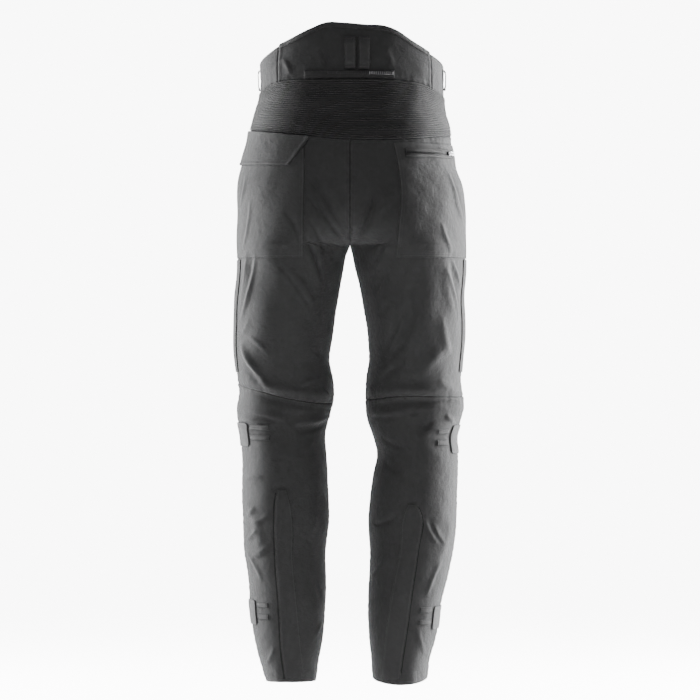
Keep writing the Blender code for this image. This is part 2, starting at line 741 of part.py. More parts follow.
def flat_outline(name, outlines, thickness, collection):
    """Flat plate from closed outlines in its own plane, as a mesh centred on that plane."""
    data = bpy.data.curves.new(name, "CURVE")
    data.dimensions = "2D"
    data.fill_mode = "BOTH"
    data.extrude = thickness / 2 * MM
    for outline in outlines:
        spline = data.splines.new("POLY")
        spline.points.add(len(outline) - 1)
        for point, (x, y) in zip(spline.points, outline):
            point.co = (x * MM, y * MM, 0.0, 1.0)
        spline.use_cyclic_u = True
    guide = bpy.data.objects.new(name + "_curve", data)
    collection.objects.link(guide)
    bpy.context.view_layer.update()
    evaluated = guide.evaluated_get(bpy.context.evaluated_depsgraph_get())
    mesh = bpy.data.meshes.new_from_object(evaluated)
    bpy.data.objects.remove(guide)
    shape = bmesh.new()
    shape.from_mesh(mesh)
    bmesh.ops.remove_doubles(shape, verts=shape.verts, dist=WELD)
    bmesh.ops.recalc_face_normals(shape, faces=shape.faces)
    shape.to_mesh(mesh)
    shape.free()
    return mesh


def rounded_box(x1, y1, x2, y2, radius, steps=4):
    """Points of a rectangle with round corners, anticlockwise."""
    points = []
    corners = ((x2 - radius, y2 - radius, 0), (x1 + radius, y2 - radius, 1),
               (x1 + radius, y1 + radius, 2), (x2 - radius, y1 + radius, 3))
    for cx, cy, quarter in corners:
        for k in range(steps + 1):
            angle = math.pi / 2 * (quarter + k / steps)
            points.append((cx + radius * math.cos(angle), cy + radius * math.sin(angle)))
    return points


def zip_slider(frame, collection, cutters):
    """Slider body with the arched bridge that the pull tab's bar turns in."""
    long, wide, thick = (size * MM for size in SLIDER_SIZE)
    bpy.ops.mesh.primitive_cube_add(size=1.0)
    body = bpy.context.object
    body.name = "pocket_slider"
    body.data.transform(Matrix.Diagonal((long, wide, thick, 1.0)))
    body.data.transform(Matrix.Translation((0, 0, thick / 2)))
    for owner in body.users_collection:
        owner.objects.unlink(body)
    collection.objects.link(body)
    body.data.materials.append(finish("zip_metal"))
    edge = body.modifiers.new("round_edges", "BEVEL")
    edge.width = SLIDER_EDGE * MM
    edge.segments = 1
    arch = bpy.data.curves.new("bridge", "CURVE")
    arch.dimensions = "3D"
    arch.bevel_depth = BRIDGE_WIRE * MM
    arch.bevel_resolution = 2
    arch.use_fill_caps = True
    spline = arch.splines.new("POLY")
    spline.points.add(BRIDGE_STEPS)
    for k, point in enumerate(spline.points):
        angle = math.pi * k / BRIDGE_STEPS
        x = BRIDGE_HALF * math.cos(angle)
        z = BRIDGE_FOOT + BRIDGE_RISE * math.sin(angle)
        point.co = (x * MM, 0.0, z * MM, 1.0)
    guide = bpy.data.objects.new("bridge_curve", arch)
    cutters.objects.link(guide)
    bpy.context.view_layer.update()
    mesh = bpy.data.meshes.new_from_object(guide.evaluated_get(bpy.context.evaluated_depsgraph_get()))
    bpy.data.objects.remove(guide)
    shape = bmesh.new()
    shape.from_mesh(mesh)
    bmesh.ops.remove_doubles(shape, verts=shape.verts, dist=WELD)
    bmesh.ops.recalc_face_normals(shape, faces=shape.faces)
    shape.to_mesh(mesh)
    shape.free()
    bridge = bpy.data.objects.new("bridge_shape", mesh)
    cutters.objects.link(bridge)
    bridge.hide_render = True
    bridge.display_type = "WIRE"
    join = body.modifiers.new("bridge", "BOOLEAN")
    join.operation = "UNION"
    join.solver = "EXACT"
    join.object = bridge
    body.matrix_world = frame
    bridge.matrix_world = frame
    return body


def zip_pull(frame, collection):
    """Pull tab: a round-cornered plate with a slot at its hinge end, whose bar lies on the joint's axis."""
    half = PULL_WIDTH / 2
    start = -PULL_BAR / 2
    outline = rounded_box(start, -half, start + PULL_LENGTH, half, PULL_CORNER)
    slot_start, slot_half = start + PULL_BAR, half - SLOT_MARGIN
    slot = rounded_box(slot_start, -slot_half, slot_start + SLOT_LENGTH, slot_half, SLOT_CORNER, 2)
    hole_start = start + PULL_LENGTH - HOLE_FROM_END
    hole = rounded_box(hole_start, -HOLE_HALF, hole_start + HOLE_LENGTH, HOLE_HALF, HOLE_CORNER, 3)
    mesh = flat_outline("pocket_pull", [outline, slot, hole], PULL_THICK, collection)
    pull = add_object("pocket_pull", mesh, "zip_metal", collection)
    pull.matrix_world = frame
    return pull


def waist_snap(collection):
    """Snap at the front of the waistband: a turned cap."""
    frame = local_frame(LEFT, math.radians(SNAP_ANGLE), SNAP_AT_HEIGHT, SNAP_LIFT)
    bpy.ops.mesh.primitive_cylinder_add(vertices=SNAP_SIDES, radius=SNAP_RADIUS * MM, depth=SNAP_HEIGHT * MM)
    snap = bpy.context.object
    snap.name = "waist_snap"
    snap.data.transform(Matrix.Translation((0, 0, SNAP_HEIGHT / 2 * MM)))
    for owner in snap.users_collection:
        owner.objects.unlink(snap)
    collection.objects.link(snap)
    snap.data.materials.append(finish("zip_metal"))
    edge = snap.modifiers.new("round_rim", "BEVEL")
    edge.width = SNAP_EDGE * MM
    edge.segments = 1
    snap.matrix_world = frame
    return snap


def main():
    for thing in list(bpy.data.objects):
        bpy.data.objects.remove(thing)
    scene = bpy.context.scene
    garment = bpy.data.collections.new("motorcycle_trousers")
    cutters = bpy.data.collections.new("cutters")
    scene.collection.children.link(garment)
    scene.collection.children.link(cutters)

    fronts, backs, calves = {}, {}, {}
    for side in (LEFT, RIGHT):
        word = side_name(side)
        fronts[side] = Panel(side, FRONT, FRONT_FOOT[side], HEM_LINE[side], FRONT_ROWS, True)
        backs[side] = Panel(side, BACK, back_top(side), KNEE_SEAM[side], BACK_ROWS, True)
        calves[side] = Panel(side, BACK, KNEE_SEAM[side], HEM_LINE[side], CALF_ROWS, False)
        long_panel(f"front_{word}", fronts[side], garment)
        long_panel(f"back_{word}", backs[side], garment)
        long_panel(f"calf_{word}", calves[side], garment)
        front_waistband(side, garment)
        pocket_patch(backs[side], garment)
        calf_placket(calves[side], garment)

    rib_panel(garment)
    waist_piece("kidney_panel", KIDNEY_COLUMNS, KIDNEY_TOP, RIB_TOP, KIDNEY_ROWS, KIDNEY_THICK,
                "kidney_cloth", garment)
    left_columns, right_columns = (0, KIDNEY_COLUMNS[0]), (KIDNEY_COLUMNS[1], HALF_ROUND)
    waist_piece("waist_side_left", left_columns, SIDE_TOP[LEFT], RIB_TOP, SIDE_ROWS, WALL, "shell_cloth", garment)
    right_top = [(180 - angle, height) for angle, height in reversed(SIDE_TOP[RIGHT])]
    waist_piece("waist_side_right", right_columns, right_top, RIB_TOP, SIDE_ROWS, WALL, "shell_cloth", garment)

    pocket_flap(backs[LEFT], garment)
    connection_zip(garment)
    for word, angle in BACK_LOOP_ANGLES.items():
        belt_loop(f"belt_loop_back_{word}", angle, LOOP_TOP, LOOP_FOOT, BACK_LOOP_STAND, garment)
    for word, angle in SIDE_LOOP_ANGLES.items():
        belt_loop(f"belt_loop_side_{word}", angle, SIDE_LOOP_TOP, SIDE_LOOP_FOOT, SIDE_LOOP_STAND, garment)

    for side, *place in THIGH_PLACKETS:
        strip(f"thigh_placket_{side_name(side)}", backs[side], *place, LIFT, BAND, "shell_cloth", garment)
    for word, tabs, bands in (("knee", KNEE_TABS, KNEE_BANDS), ("hem", HEM_TABS, HEM_BANDS)):
        for side, *place in tabs:
            strip(f"{word}_tab_{side_name(side)}", calves[side], *place, TAB_LIFT, TAB, "tab_fabric", garment)
        for side, level, *place in bands:
            strip(f"{word}_band_{side_name(side)}_{level}", calves[side], *place, TAB_LIFT, BAND, "webbing",
                  garment)

    strip("pocket_zip_tape", backs[RIGHT], ZIP_TOP, ZIP_FOOT, *ZIP_ANGLES, ZIP_LIFT, ZIP_TAPE, "zip_tape",
          garment)
    strip("fly_placket", fronts[LEFT], FLY_TOP, FLY_FOOT, *FLY_ANGLES, LIFT, BAND, "shell_cloth", garment)
    height = (ZIP_TOP + ZIP_FOOT) / 2
    seat = local_frame(RIGHT, math.radians(SLIDER_ANGLE), height, ZIP_LIFT + ZIP_TAPE + SLIDER_GAP)
    zip_slider(seat, garment, cutters)
    hinge_height = BRIDGE_FOOT + BRIDGE_RISE - BRIDGE_WIRE - PULL_BAR / 2 - PULL_CLEARANCE
    hinge = seat @ Matrix.Translation((0, 0, hinge_height * MM))
    zip_pull(hinge @ Matrix.Rotation(PULL_REST_TURN, 4, "Y"), garment)
    waist_snap(garment)


main()
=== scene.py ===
"""Looks of the motorcycle trousers: every cut piece as a thin sewn shell on the worn form, with its folds,
ribs, stitching, zips and hook tabs.

Lengths in the tables are millimetres. +Z is up, the front faces -Y and the wearer's left is +X.
The origin is the middle of the waist line.
"""

import math

import bpy
import numpy as np
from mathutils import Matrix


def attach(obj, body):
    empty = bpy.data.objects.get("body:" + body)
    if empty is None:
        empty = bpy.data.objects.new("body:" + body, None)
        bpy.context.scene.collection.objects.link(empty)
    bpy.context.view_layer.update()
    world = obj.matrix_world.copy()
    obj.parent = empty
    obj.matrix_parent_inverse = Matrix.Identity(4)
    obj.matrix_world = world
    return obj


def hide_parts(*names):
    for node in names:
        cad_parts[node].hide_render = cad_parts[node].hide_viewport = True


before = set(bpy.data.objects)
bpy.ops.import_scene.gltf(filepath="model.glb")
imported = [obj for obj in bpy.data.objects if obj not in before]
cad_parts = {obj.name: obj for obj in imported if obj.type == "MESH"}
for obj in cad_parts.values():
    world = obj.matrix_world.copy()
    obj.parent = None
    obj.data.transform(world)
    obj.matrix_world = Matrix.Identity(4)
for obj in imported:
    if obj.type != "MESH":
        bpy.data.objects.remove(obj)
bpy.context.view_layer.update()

MM = 0.001
LEFT, RIGHT = 1, -1
BACK, FRONT = 1, -1
QUARTER = math.pi / 2
BODY = "garment"

# Driving sizes, the same as the solids'
SEAM_GAP = -0.3  # below 0: the cloths overlap a little, so no light comes through a seam
CROTCH = -281.0
SPLIT_START = -118.0
SPLIT_POWER = 2.4

# Garment outline: half width on each side of the centre line
OUTSIDE = [
    # height, left, right
    (120, 158, 161),
    (65, 160, 164),
    (43, 162, 167),
    (10, 161, 168),
    (-18, 164, 169),
    (-43, 171, 172),
    (-68, 178, 179),
    (-94, 183, 182),
    (-119, 190, 187),
    (-144, 196, 191),
    (-169, 201, 200),
    (-220, 202, 206),
    (-270, 203, 208),
    (-320, 202, 208),
    (-371, 206, 205),
    (-421, 208, 206),
    (-455, 209, 205),
    (-497, 206, 202),
    (-522, 203, 200),
    (-547, 201, 203),
    (-572, 205, 206),
    (-598, 202, 200),
    (-623, 197, 193),
    (-660, 195, 195),
    (-749, 194, 193),
    (-825, 191, 187),
    (-875, 184, 176),
    (-925, 180, 164),
    (-976, 173, 156),
    (-1026, 162, 143),
    (-1066, 148, 137),
]

# Inseam of each leg, its distance from the centre line
INSIDE = [
    # height, left, right
    (-281, 0, 0),
    (-295, 6, 4),
    (-320, 12, 9),
    (-346, 17, 16),
    (-396, 25, 25),
    (-446, 32, 33),
    (-484, 37, 35),
    (-522, 30, 29),
    (-552, 29, 28),
    (-598, 39, 32),
    (-623, 44, 41),
    (-650, 43, 48),
    (-698, 40, 41),
    (-774, 38, 33),
    (-825, 43, 36),
    (-900, 43, 33),
    (-976, 47, 33),
    (-1026, 56, 38),
    (-1066, 61, 42),
]

# Depth of the rings: where their middle lies along Y, and how far they reach behind and in front
DEPTH = [
    # height, middle, behind, ahead
    (120, 4, 106, 108),
    (50, 2, 111, 110),
    (0, 0, 114, 113),
    (-45, 0, 118, 116),
    (-95, 2, 122, 119),
    (-150, 4, 131, 120),
    (-200, 5, 136, 119),
    (-245, 3, 133, 118),
    (-281, 0, 124, 116),
    (-330, -3, 113, 112),
    (-400, -8, 104, 106),
    (-470, -14, 95, 100),
    (-530, -19, 87, 95),
    (-570, -21, 82, 93),
    (-610, -20, 80, 88),
    (-650, -17, 80, 82),
    (-720, -12, 81, 78),
    (-800, -5, 79, 75),
    (-880, 3, 76, 72),
    (-960, 9, 72, 69),
    (-1066, 15, 68, 66),
]

# Seams that run round the body. Angles start at the left side seam and pass the centre back at 90
KIDNEY_TOP = [
    # angle, height
    (37.5, 74),
    (47, 82),
    (63, 99),
    (75, 110),
    (86, 109),
    (100, 106),
    (113, 104),
    (121, 97),
    (133, 80),
    (150, 61),
]
RIB_TOP = [(0, -9), (10, -5), (29, 5), (44, 10), (70, 10), (110, 10), (140, 4), (155, -5), (168, -12), (180, -18)]
RIB_FOOT = [(0, -73), (30, -78), (60, -87), (90, -96), (118, -95), (150, -88), (180, -84)]
SIDE_TOP = {
    LEFT: [(0, 45), (14, 53), (26, 62), (37.5, 73)],
    RIGHT: [(0, 40), (13, 49), (22, 55), (30, 60)],
}
FRONT_TOP = {LEFT: [(-90, 34), (-45, 37), (0, 45)], RIGHT: [(-90, 34), (-45, 36), (0, 40)]}
FRONT_FOOT = {LEFT: [(-90, -12), (-45, -12), (0, -9)], RIGHT: [(-90, -12), (-45, -14), (0, -18)]}
KNEE_SEAM = {
    LEFT: [(0, -527), (30, -535), (65, -545), (84, -552), (113, -560), (151, -564), (180, -563)],
    RIGHT: [(0, -551), (31, -553), (70, -551), (107, -551), (151, -557), (180, -558)],
}
HEM_LINE = {LEFT: [(0, -1061), (90, -1058), (180, -1060)], RIGHT: [(0, -1055), (90, -1063), (180, -1055)]}
KIDNEY_ENDS = (37.5, 150.0)

# Folds and creases, as seen from behind or in front: a bowed line, with a ridge or, below 0, a trough.
# Lean gives the ridge a trough beside it, on the left of its way from 1 to 2, or on the right below 0
FOLDS = [
    # side, face, x1, z1, x2, z2, bow, half width, height, lean
    (LEFT, BACK, 82, -155, 12, -276, 12, 10, -6.0, 0),
    (LEFT, BACK, 58, -170, 20, -236, 6, 10, 2.5, 0),
    (RIGHT, BACK, 43, -180, 8, -274, -6, 9, -5.5, 0),
    (RIGHT, BACK, 62, -200, 30, -268, -6, 12, 3.0, 0),
    (LEFT, BACK, 130, -318, 62, -405, 8, 11, 3.0, 0),
    (LEFT, BACK, 74, -280, 44, -360, -5, 10, 3.0, 0),
    (LEFT, BACK, 187, -300, 198, -400, 8, 11, 3.0, 0),
    (LEFT, BACK, 194, -452, 160, -510, -7, 11, 4.0, 0),
    (RIGHT, BACK, 113, -350, 60, -492, -16, 10, -5.0, 0),
    (RIGHT, BACK, 74, -272, 42, -320, 4, 9, 3.0, 0),
    (RIGHT, BACK, 172, -300, 196, -420, 10, 12, 3.5, 0),
    (RIGHT, BACK, 180, -460, 120, -520, 6, 12, 4.0, 0),
    (LEFT, BACK, 203, -516, 33, -550, -5, 9, 5.0, 0),
    (LEFT, BACK, 203, -536, 36, -571, -5, 7, -5.0, 0),
    (LEFT, BACK, 196, -584, 112, -592, 2, 9, 4.0, 0),
    (LEFT, BACK, 98, -600, 44, -588, 2, 8, 4.0, 0),
    (RIGHT, BACK, 200, -540, 32, -545, 4, 9, 5.5, 0),
    (RIGHT, BACK, 196, -562, 40, -566, 4, 7, -5.5, 0),
    (RIGHT, BACK, 188, -606, 118, -622, 4, 9, 4.0, 0),
    (RIGHT, BACK, 106, -584, 36, -592, 4, 9, 4.0, 0),
    (LEFT, BACK, 186, -740, 160, -838, 8, 11, 2.5, 0),
    (RIGHT, BACK, 180, -760, 150, -850, -8, 11, 2.5, 0),
    (LEFT, FRONT, 196, -600, 50, -590, 8, 11, -5.0, 0),
    (RIGHT, FRONT, 196, -604, 46, -594, 8, 11, -5.0, 0),
    (LEFT, FRONT, 190, -520, 60, -500, 8, 11, -3.5, 0),
    (RIGHT, FRONT, 190, -524, 56, -506, 8, 11, -3.5, 0),
    (LEFT, FRONT, 120, -235, 20, -285, 6, 11, -4.5, 0),
    (RIGHT, FRONT, 120, -240, 20, -287, 6, 11, -4.5, 0),
    (LEFT, FRONT, 150, -330, 40, -310, 6, 12, -3.5, 0),
    (RIGHT, FRONT, 150, -336, 40, -314, 6, 12, -3.5, 0),
]
# Finer creases, in the same columns: from the seat down each leg, then on the front
CREASES = [
    # side, face, x1, z1, x2, z2, bow, half width, height, lean
    (LEFT, BACK, 67, -181, 4, -282, -6, 4.5, -3.4, 0.5),
    (LEFT, BACK, 71, -167, 52, -196, 2, 4.5, -2.4, 0),
    (LEFT, BACK, 35, -187, 25, -222, 2, 4.5, -1.8, 0),
    (LEFT, BACK, 76, -195, 51, -236, 3, 4.5, -2.2, 0),
    (LEFT, BACK, 13, -222, 2, -250, 0, 4.5, -1.5, 0),
    (LEFT, BACK, 115, -222, 87, -275, 4, 5, -2.2, 0),
    (LEFT, BACK, 73, -236, 44, -294, 3, 5, -2.5, 0),
    (LEFT, BACK, 80, -264, 51, -347, 5, 5, -2.6, 0.4),
    (LEFT, BACK, 183, -159, 195, -213, 2, 4, 2.0, -0.6),
    (LEFT, BACK, 174, -202, 189, -289, 3, 4.5, 2.2, -0.4),
    (LEFT, BACK, 167, -298, 195, -415, 3, 4.5, 3.2, -0.6),
    (LEFT, BACK, 182, -291, 195, -376, 2, 4, 2.5, 0),
    (LEFT, BACK, 179, -415, 193, -440, 1, 5, 1.6, 0),
    (LEFT, BACK, 186, -440, 145, -477, 3, 5, 1.6, 0),
    (LEFT, BACK, 195, -457, 138, -539, -5, 6, 3.0, -0.6),
    (LEFT, BACK, 128, -314, 68, -399, 4, 5, -2.6, 0.3),
    (LEFT, BACK, 145, -289, 92, -454, 4, 16, 2.0, 0),
    (LEFT, BACK, 71, -475, 44, -493, 2, 4.5, 1.5, 0),
    (LEFT, BACK, 96, -535, 50, -519, 3, 5, 2.0, 0),
    (LEFT, BACK, 199, -583, 128, -596, 2, 4, -4.2, -0.6),
    (LEFT, BACK, 199, -594, 156, -602, 1, 4, 3.0, -0.8),
    (LEFT, BACK, 103, -601, 30, -587, -3, 4.5, 2.5, -0.5),
    (LEFT, BACK, 94, -616, 44, -603, -2, 4.5, -2.5, 0),
    (LEFT, BACK, 84, -657, 62, -626, 2, 4.5, 1.8, 0.6),
    (LEFT, BACK, 50, -537, 37, -555, 1, 5, 3.0, 0),
    (LEFT, BACK, 191, -698, 156, -697, 2, 5, 1.8, 0),
    (LEFT, BACK, 169, -748, 184, -766, 1, 4.5, 2.4, 0),
    (LEFT, BACK, 140, -759, 174, -777, 2, 4.5, 2.0, 0.4),
    (LEFT, BACK, 165, -789, 184, -807, 1, 4.5, 2.8, 0),
    (LEFT, BACK, 142, -814, 174, -837, 2, 5, 2.0, 0.4),
    (LEFT, BACK, 186, -828, 157, -881, 3, 4.5, 2.2, 0),
    (LEFT, BACK, 142, -720, 113, -711, 2, 4.5, -1.5, 0),
    (LEFT, BACK, 60, -760, 76, -806, 3, 6, 1.6, 0),
    (LEFT, BACK, 70, -868, 52, -918, 3, 6, -1.6, 0),
    (LEFT, BACK, 135, -996, 150, -1030, 2, 4.5, 1.8, 0),
    (LEFT, BACK, 61, -980, 48, -953, 1, 4.5, 1.5, 0),
    (LEFT, BACK, 53, 69, 38, 28, 3, 5, -2.5, -0.5),
    (LEFT, BACK, 122, 50, 105, 18, 3, 5, 2.0, 0),
    (RIGHT, BACK, 60, 66, 74, 30, -3, 6, 1.5, 0),
    (RIGHT, BACK, 45, -191, 4, -280, -5, 4.5, -3.4, -0.5),
    (RIGHT, BACK, 77, -214, 46, -254, 3, 5, -1.6, 0),
    (RIGHT, BACK, 74, -266, 43, -322, 4, 5, -3.0, 0.4),
    (RIGHT, BACK, 71, -322, 45, -373, 4, 5.5, -2.6, 0),
    (RIGHT, BACK, 78, -378, 52, -411, 3, 6, -1.5, 0),
    (RIGHT, BACK, 122, -323, 108, -379, 4, 8, -1.5, 0),
    (RIGHT, BACK, 108, -379, 57, -484, 5, 7, -3.2, 0),
    (RIGHT, BACK, 95, -493, 38, -541, 4, 8, -3.0, 0),
    (RIGHT, BACK, 170, -322, 194, -416, -3, 4.5, 3.2, 0.6),
    (RIGHT, BACK, 179, -305, 197, -362, -2, 4, 2.5, 0),
    (RIGHT, BACK, 165, -406, 177, -477, 3, 8, 2.2, 0),
    (RIGHT, BACK, 173, -153, 198, -236, -2, 4.5, 2.6, 0.6),
    (RIGHT, BACK, 161, -241, 181, -294, 3, 5, 2.2, 0),
    (RIGHT, BACK, 181, -177, 199, -241, 2, 4, 1.8, 0),
    (RIGHT, BACK, 156, -524, 193, -538, 3, 8, 2.5, 0),
    (RIGHT, BACK, 172, -585, 186, -594, 1, 4.5, 2.5, 0),
    (RIGHT, BACK, 31, -588, 105, -584, 2, 5, -3.4, 0.4),
    (RIGHT, BACK, 105, -584, 121, -576, 1, 4.5, -2.0, 0),
    (RIGHT, BACK, 147, -597, 122, -624, 3, 4.5, -2.6, 0),
    (RIGHT, BACK, 55, -625, 98, -643, 3, 4.5, -2.4, 0),
    (RIGHT, BACK, 60, -667, 89, -688, 2, 5, -1.6, 0),
    (RIGHT, BACK, 37, -780, 82, -764, 4, 5.5, -2.4, 0),
    (RIGHT, BACK, 132, -768, 159, -816, 3, 4.5, 2.4, 0.4),
    (RIGHT, BACK, 149, -777, 170, -816, 2, 4.5, 2.0, 0),
    (RIGHT, BACK, 164, -841, 136, -908, 3, 4.5, 2.5, 0),
    (RIGHT, BACK, 73, -837, 38, -876, 3, 5, 1.6, 0),
    (RIGHT, BACK, 120, -960, 134, -1012, 2, 5, 1.6, 0),
    (LEFT, FRONT, 96, -212, 14, -262, 5, 5, -2.6, 0.5),
    (LEFT, FRONT, 118, -284, 34, -302, 5, 5, -2.4, 0),
    (LEFT, FRONT, 176, -210, 130, -262, 6, 6, 2.0, 0),
    (LEFT, FRONT, 74, -30, 60, -124, 3, 8, 1.8, 0),
    (LEFT, FRONT, 150, -360, 60, -404, 6, 6, 2.0, 0),
    (LEFT, FRONT, 186, -552, 96, -562, 5, 5, 3.0, 0.5),
    (LEFT, FRONT, 170, -628, 60, -642, -5, 5, -3.0, 0.5),
    (LEFT, FRONT, 182, -700, 120, -738, 4, 6, 2.0, 0),
    (LEFT, FRONT, 60, -760, 110, -802, 4, 6, -2.0, 0),
    (LEFT, FRONT, 166, -862, 100, -905, 5, 6, 2.2, 0),
    (LEFT, FRONT, 70, -960, 130, -986, 4, 5, -2.0, 0),
    (RIGHT, FRONT, 88, -218, 12, -266, 5, 5, -2.8, -0.5),
    (RIGHT, FRONT, 126, -276, 30, -300, 5, 5, -2.2, 0),
    (RIGHT, FRONT, 170, -196, 126, -250, 6, 6, 2.2, 0),
    (RIGHT, FRONT, 88, -34, 70, -110, 3, 8, 1.6, 0),
    (RIGHT, FRONT, 160, -372, 74, -410, 6, 6, 2.0, 0),
    (RIGHT, FRONT, 182, -546, 84, -560, 5, 5, 3.0, -0.5),
    (RIGHT, FRONT, 174, -634, 66, -640, -5, 5, -3.0, -0.5),
    (RIGHT, FRONT, 176, -712, 112, -744, 4, 6, 2.0, 0),
    (RIGHT, FRONT, 52, -778, 104, -812, 4, 6, -2.0, 0),
    (RIGHT, FRONT, 158, -850, 92, -900, 5, 6, 2.2, 0),
]
FOLD_STEPS = 10
FADE_POWER = 0.7
CENTRE_EASE = 14.0
CENTRE_HOLD = 4.0

RIB_COUNT = 27
RIB_HEIGHT = 2.0

# Edges of the pieces: how a seam sinks, how a lapped seam and a hem stand up, where they are sewn down
SEAM_SINK, SEAM_REACH = 1.5, 1.7
LAP, LAP_WIDTH = 0.7, 9.0
HEM_LAP, HEM_WIDTH = 0.6, 22.0
ROW_NEAR, ROW_FAR, ROW_HEM = 2.4, 7.4, 20.0
EDGE_ROWS = {"lapped": (ROW_NEAR, ROW_FAR), "twice": (ROW_NEAR, ROW_FAR), "stitched": (ROW_NEAR,),
             "folded": (3.4,), "rolled": (7.0,), "hem": (ROW_HEM,)}
FOLD_OVER, FOLD_REACH = 0.9, 1.6
ROLL, ROLL_MIDDLE, ROLL_REACH = 1.2, 3.2, 2.4
STITCH_DIP, STITCH_REACH = 0.4, 1.0
PUCKER = 0.32
STITCH_PITCH, STITCH_LENGTH, STITCH_RADIUS = 3.6, 2.9, 0.32

# Thickness of the cloths and the spacing of their grids
SHELL_THICK, WAIST_THICK, KIDNEY_THICK = 1.4, 1.8, 2.8
FRONT_STEP, BACK_STEP = 5.2, 2.45

# Pocket patches: height, distance of the inner seam from the centre line
POCKETS = {
    LEFT: [(-106, 80), (-160, 80), (-230, 81), (-304, 83)],
    RIGHT: [(-101, 75), (-128, 81), (-170, 87), (-210, 88), (-251, 85), (-304, 81)],
}
POCKET_OUTER_ANGLE = 5.0
POCKET_BULGE = {LEFT: 2.0, RIGHT: 1.2}
PATCH_LIFT, PATCH = 0.7, 1.2
FLAP_LIFT, FLAP = 2.5, 2.2
FLAP_END = [(-80, 64), (-92, 70), (-120, 90), (-143, 107)]
FLAP_OUTER_ANGLE = 2.0
FLAP_UNDER_SEAM = 1.2
FLAP_FOOT, FLAP_DROP = -137.0, 6.0

# Calf plackets: height, outer edge, inner edge; the dark strip beside each, a zip darkened as painted shadow, shows
# this wide
CALF_PLACKETS = {
    LEFT: [(-716, 129, 113), (-742, 133, 106), (-770, 134, 102), (-845, 132, 101), (-910, 127, 95),
           (-960, 124, 90), (-1005, 121, 86), (-1052, 115, 80)],
    RIGHT: [(-742, 119, 103), (-762, 127, 95), (-825, 121, 89), (-893, 111, 76), (-966, 101, 65),
            (-1012, 94, 60), (-1054, 88, 57)],
}
PLACKET_BULGE = {LEFT: 0.8, RIGHT: 0.6}
SLIT_WIDTH = {LEFT: 3.4, RIGHT: 2.2}

# Strips with straight sides: side, heights of the top and foot, angles of the outer and inner ends
THIGH_PLACKETS = [
    (LEFT, -306, -508, 1.5, 21.0),
    (RIGHT, -306, -508, 1.5, 21.0),
]
KNEE_TABS = [(LEFT, -598, -641, 2.0, 38.0), (RIGHT, -602, -654, 2.0, 36.0)]
KNEE_BANDS = [
    (LEFT, "upper", -601, -611, 41.0, 73.0),
    (LEFT, "lower", -620, -629, 41.0, 73.0),
    (RIGHT, "upper", -610, -618, 40.0, 60.0),
    (RIGHT, "lower", -629, -639, 40.0, 60.0),
]
HEM_TABS = [(LEFT, -914, -959, 3.0, 34.0), (RIGHT, -925, -967, 3.0, 38.0)]
HEM_BANDS = [
    (LEFT, "upper", -918, -927, 38.0, 60.0),
    (LEFT, "lower", -938, -948, 38.0, 60.0),
    (RIGHT, "upper", -926, -936, 42.0, 66.0),
    (RIGHT, "lower", -948, -957, 42.0, 66.0),
]
BAND = 1.2
TAB_LIFT, TAB_THICK = 0.9, 1.6

# Zips, belt loops, fly and snap
CONNECTION_ANGLES = (60.0, 118.0)
CONNECTION_TOP, CONNECTION_FOOT = 26.5, 13.0
CONNECTION_TAPE = 1.8
TOOTH_PITCH, COIL_PITCH = 3.5, 1.5
ZIP_TOP, ZIP_FOOT = -111.0, -127.0
ZIP_ANGLES = (15.0, 59.0)
ZIP_LIFT, ZIP_TAPE = 2.7, 1.0
ZIP_GROOVE, ZIP_LIP = 1.2, 0.7
BACK_LOOP_ANGLES = {"left": 90.0, "right": 98.5}
LOOP_TOP, LOOP_FOOT, LOOP_WIDTH = 86.0, 29.0, 20.0
SIDE_LOOP_ANGLES = {"left": 2.5, "right": 176.0}
SIDE_LOOP_TOP, SIDE_LOOP_FOOT = 34.0, -2.0
BACK_LOOP_STAND, SIDE_LOOP_STAND = 6.4, 2.4
LOOP_THICK, LOOP_RAMP = 1.4, 0.24
FLY_ANGLES = (-78.0, -89.0)
FLY_TOP, FLY_FOOT = -16.0, -190.0
SNAP_ANGLE, SNAP_AT_HEIGHT, SNAP_LIFT = -85.5, 12.0, 0.4


def column(table, index):
    """One column of a table as an array."""
    return np.array([row[index] for row in table], dtype=float)


def curve(table, index, at):
    """Smooth value of a column at each place in the first one: cubics whose slopes follow the neighbours."""
    place, value = column(table, 0), column(table, index)
    if place[0] > place[-1]:
        place, value = place[::-1], value[::-1]
    slope = np.gradient(value, place)
    at = np.clip(np.asarray(at, dtype=float), place[0], place[-1])
    i = np.clip(np.searchsorted(place, at) - 1, 0, len(place) - 2)
    step = place[i + 1] - place[i]
    t = (at - place[i]) / step
    start = value[i] * (1 + 2 * t) * (1 - t) ** 2 + slope[i] * step * t * (1 - t) ** 2
    end = value[i + 1] * (3 - 2 * t) * t**2 - slope[i + 1] * step * t**2 * (1 - t)
    return start + end


def smooth(t):
    """0 below 0, 1 above 1, and an S-curve between."""
    t = np.clip(t, 0.0, 1.0)
    return t * t * (3 - 2 * t)


def bell(distance, reach):
    """1 at no distance, falling off as a bell curve."""
    return np.exp(-((distance / reach) ** 2))


def ring(side, height):
    """Centre and half width of one leg's ring; above the crotch the ring grows until both sides share one."""
    index = 1 if side == LEFT else 2
    outer = curve(OUTSIDE, index, height)
    rise = np.clip((SPLIT_START - height) / (SPLIT_START - CROTCH), 0.0, 1.0)
    above = -outer * (1.0 - rise**SPLIT_POWER)
    inner = np.where(height >= CROTCH, above, curve(INSIDE, index, height))
    return (outer + inner) / 2, (outer - inner) / 2


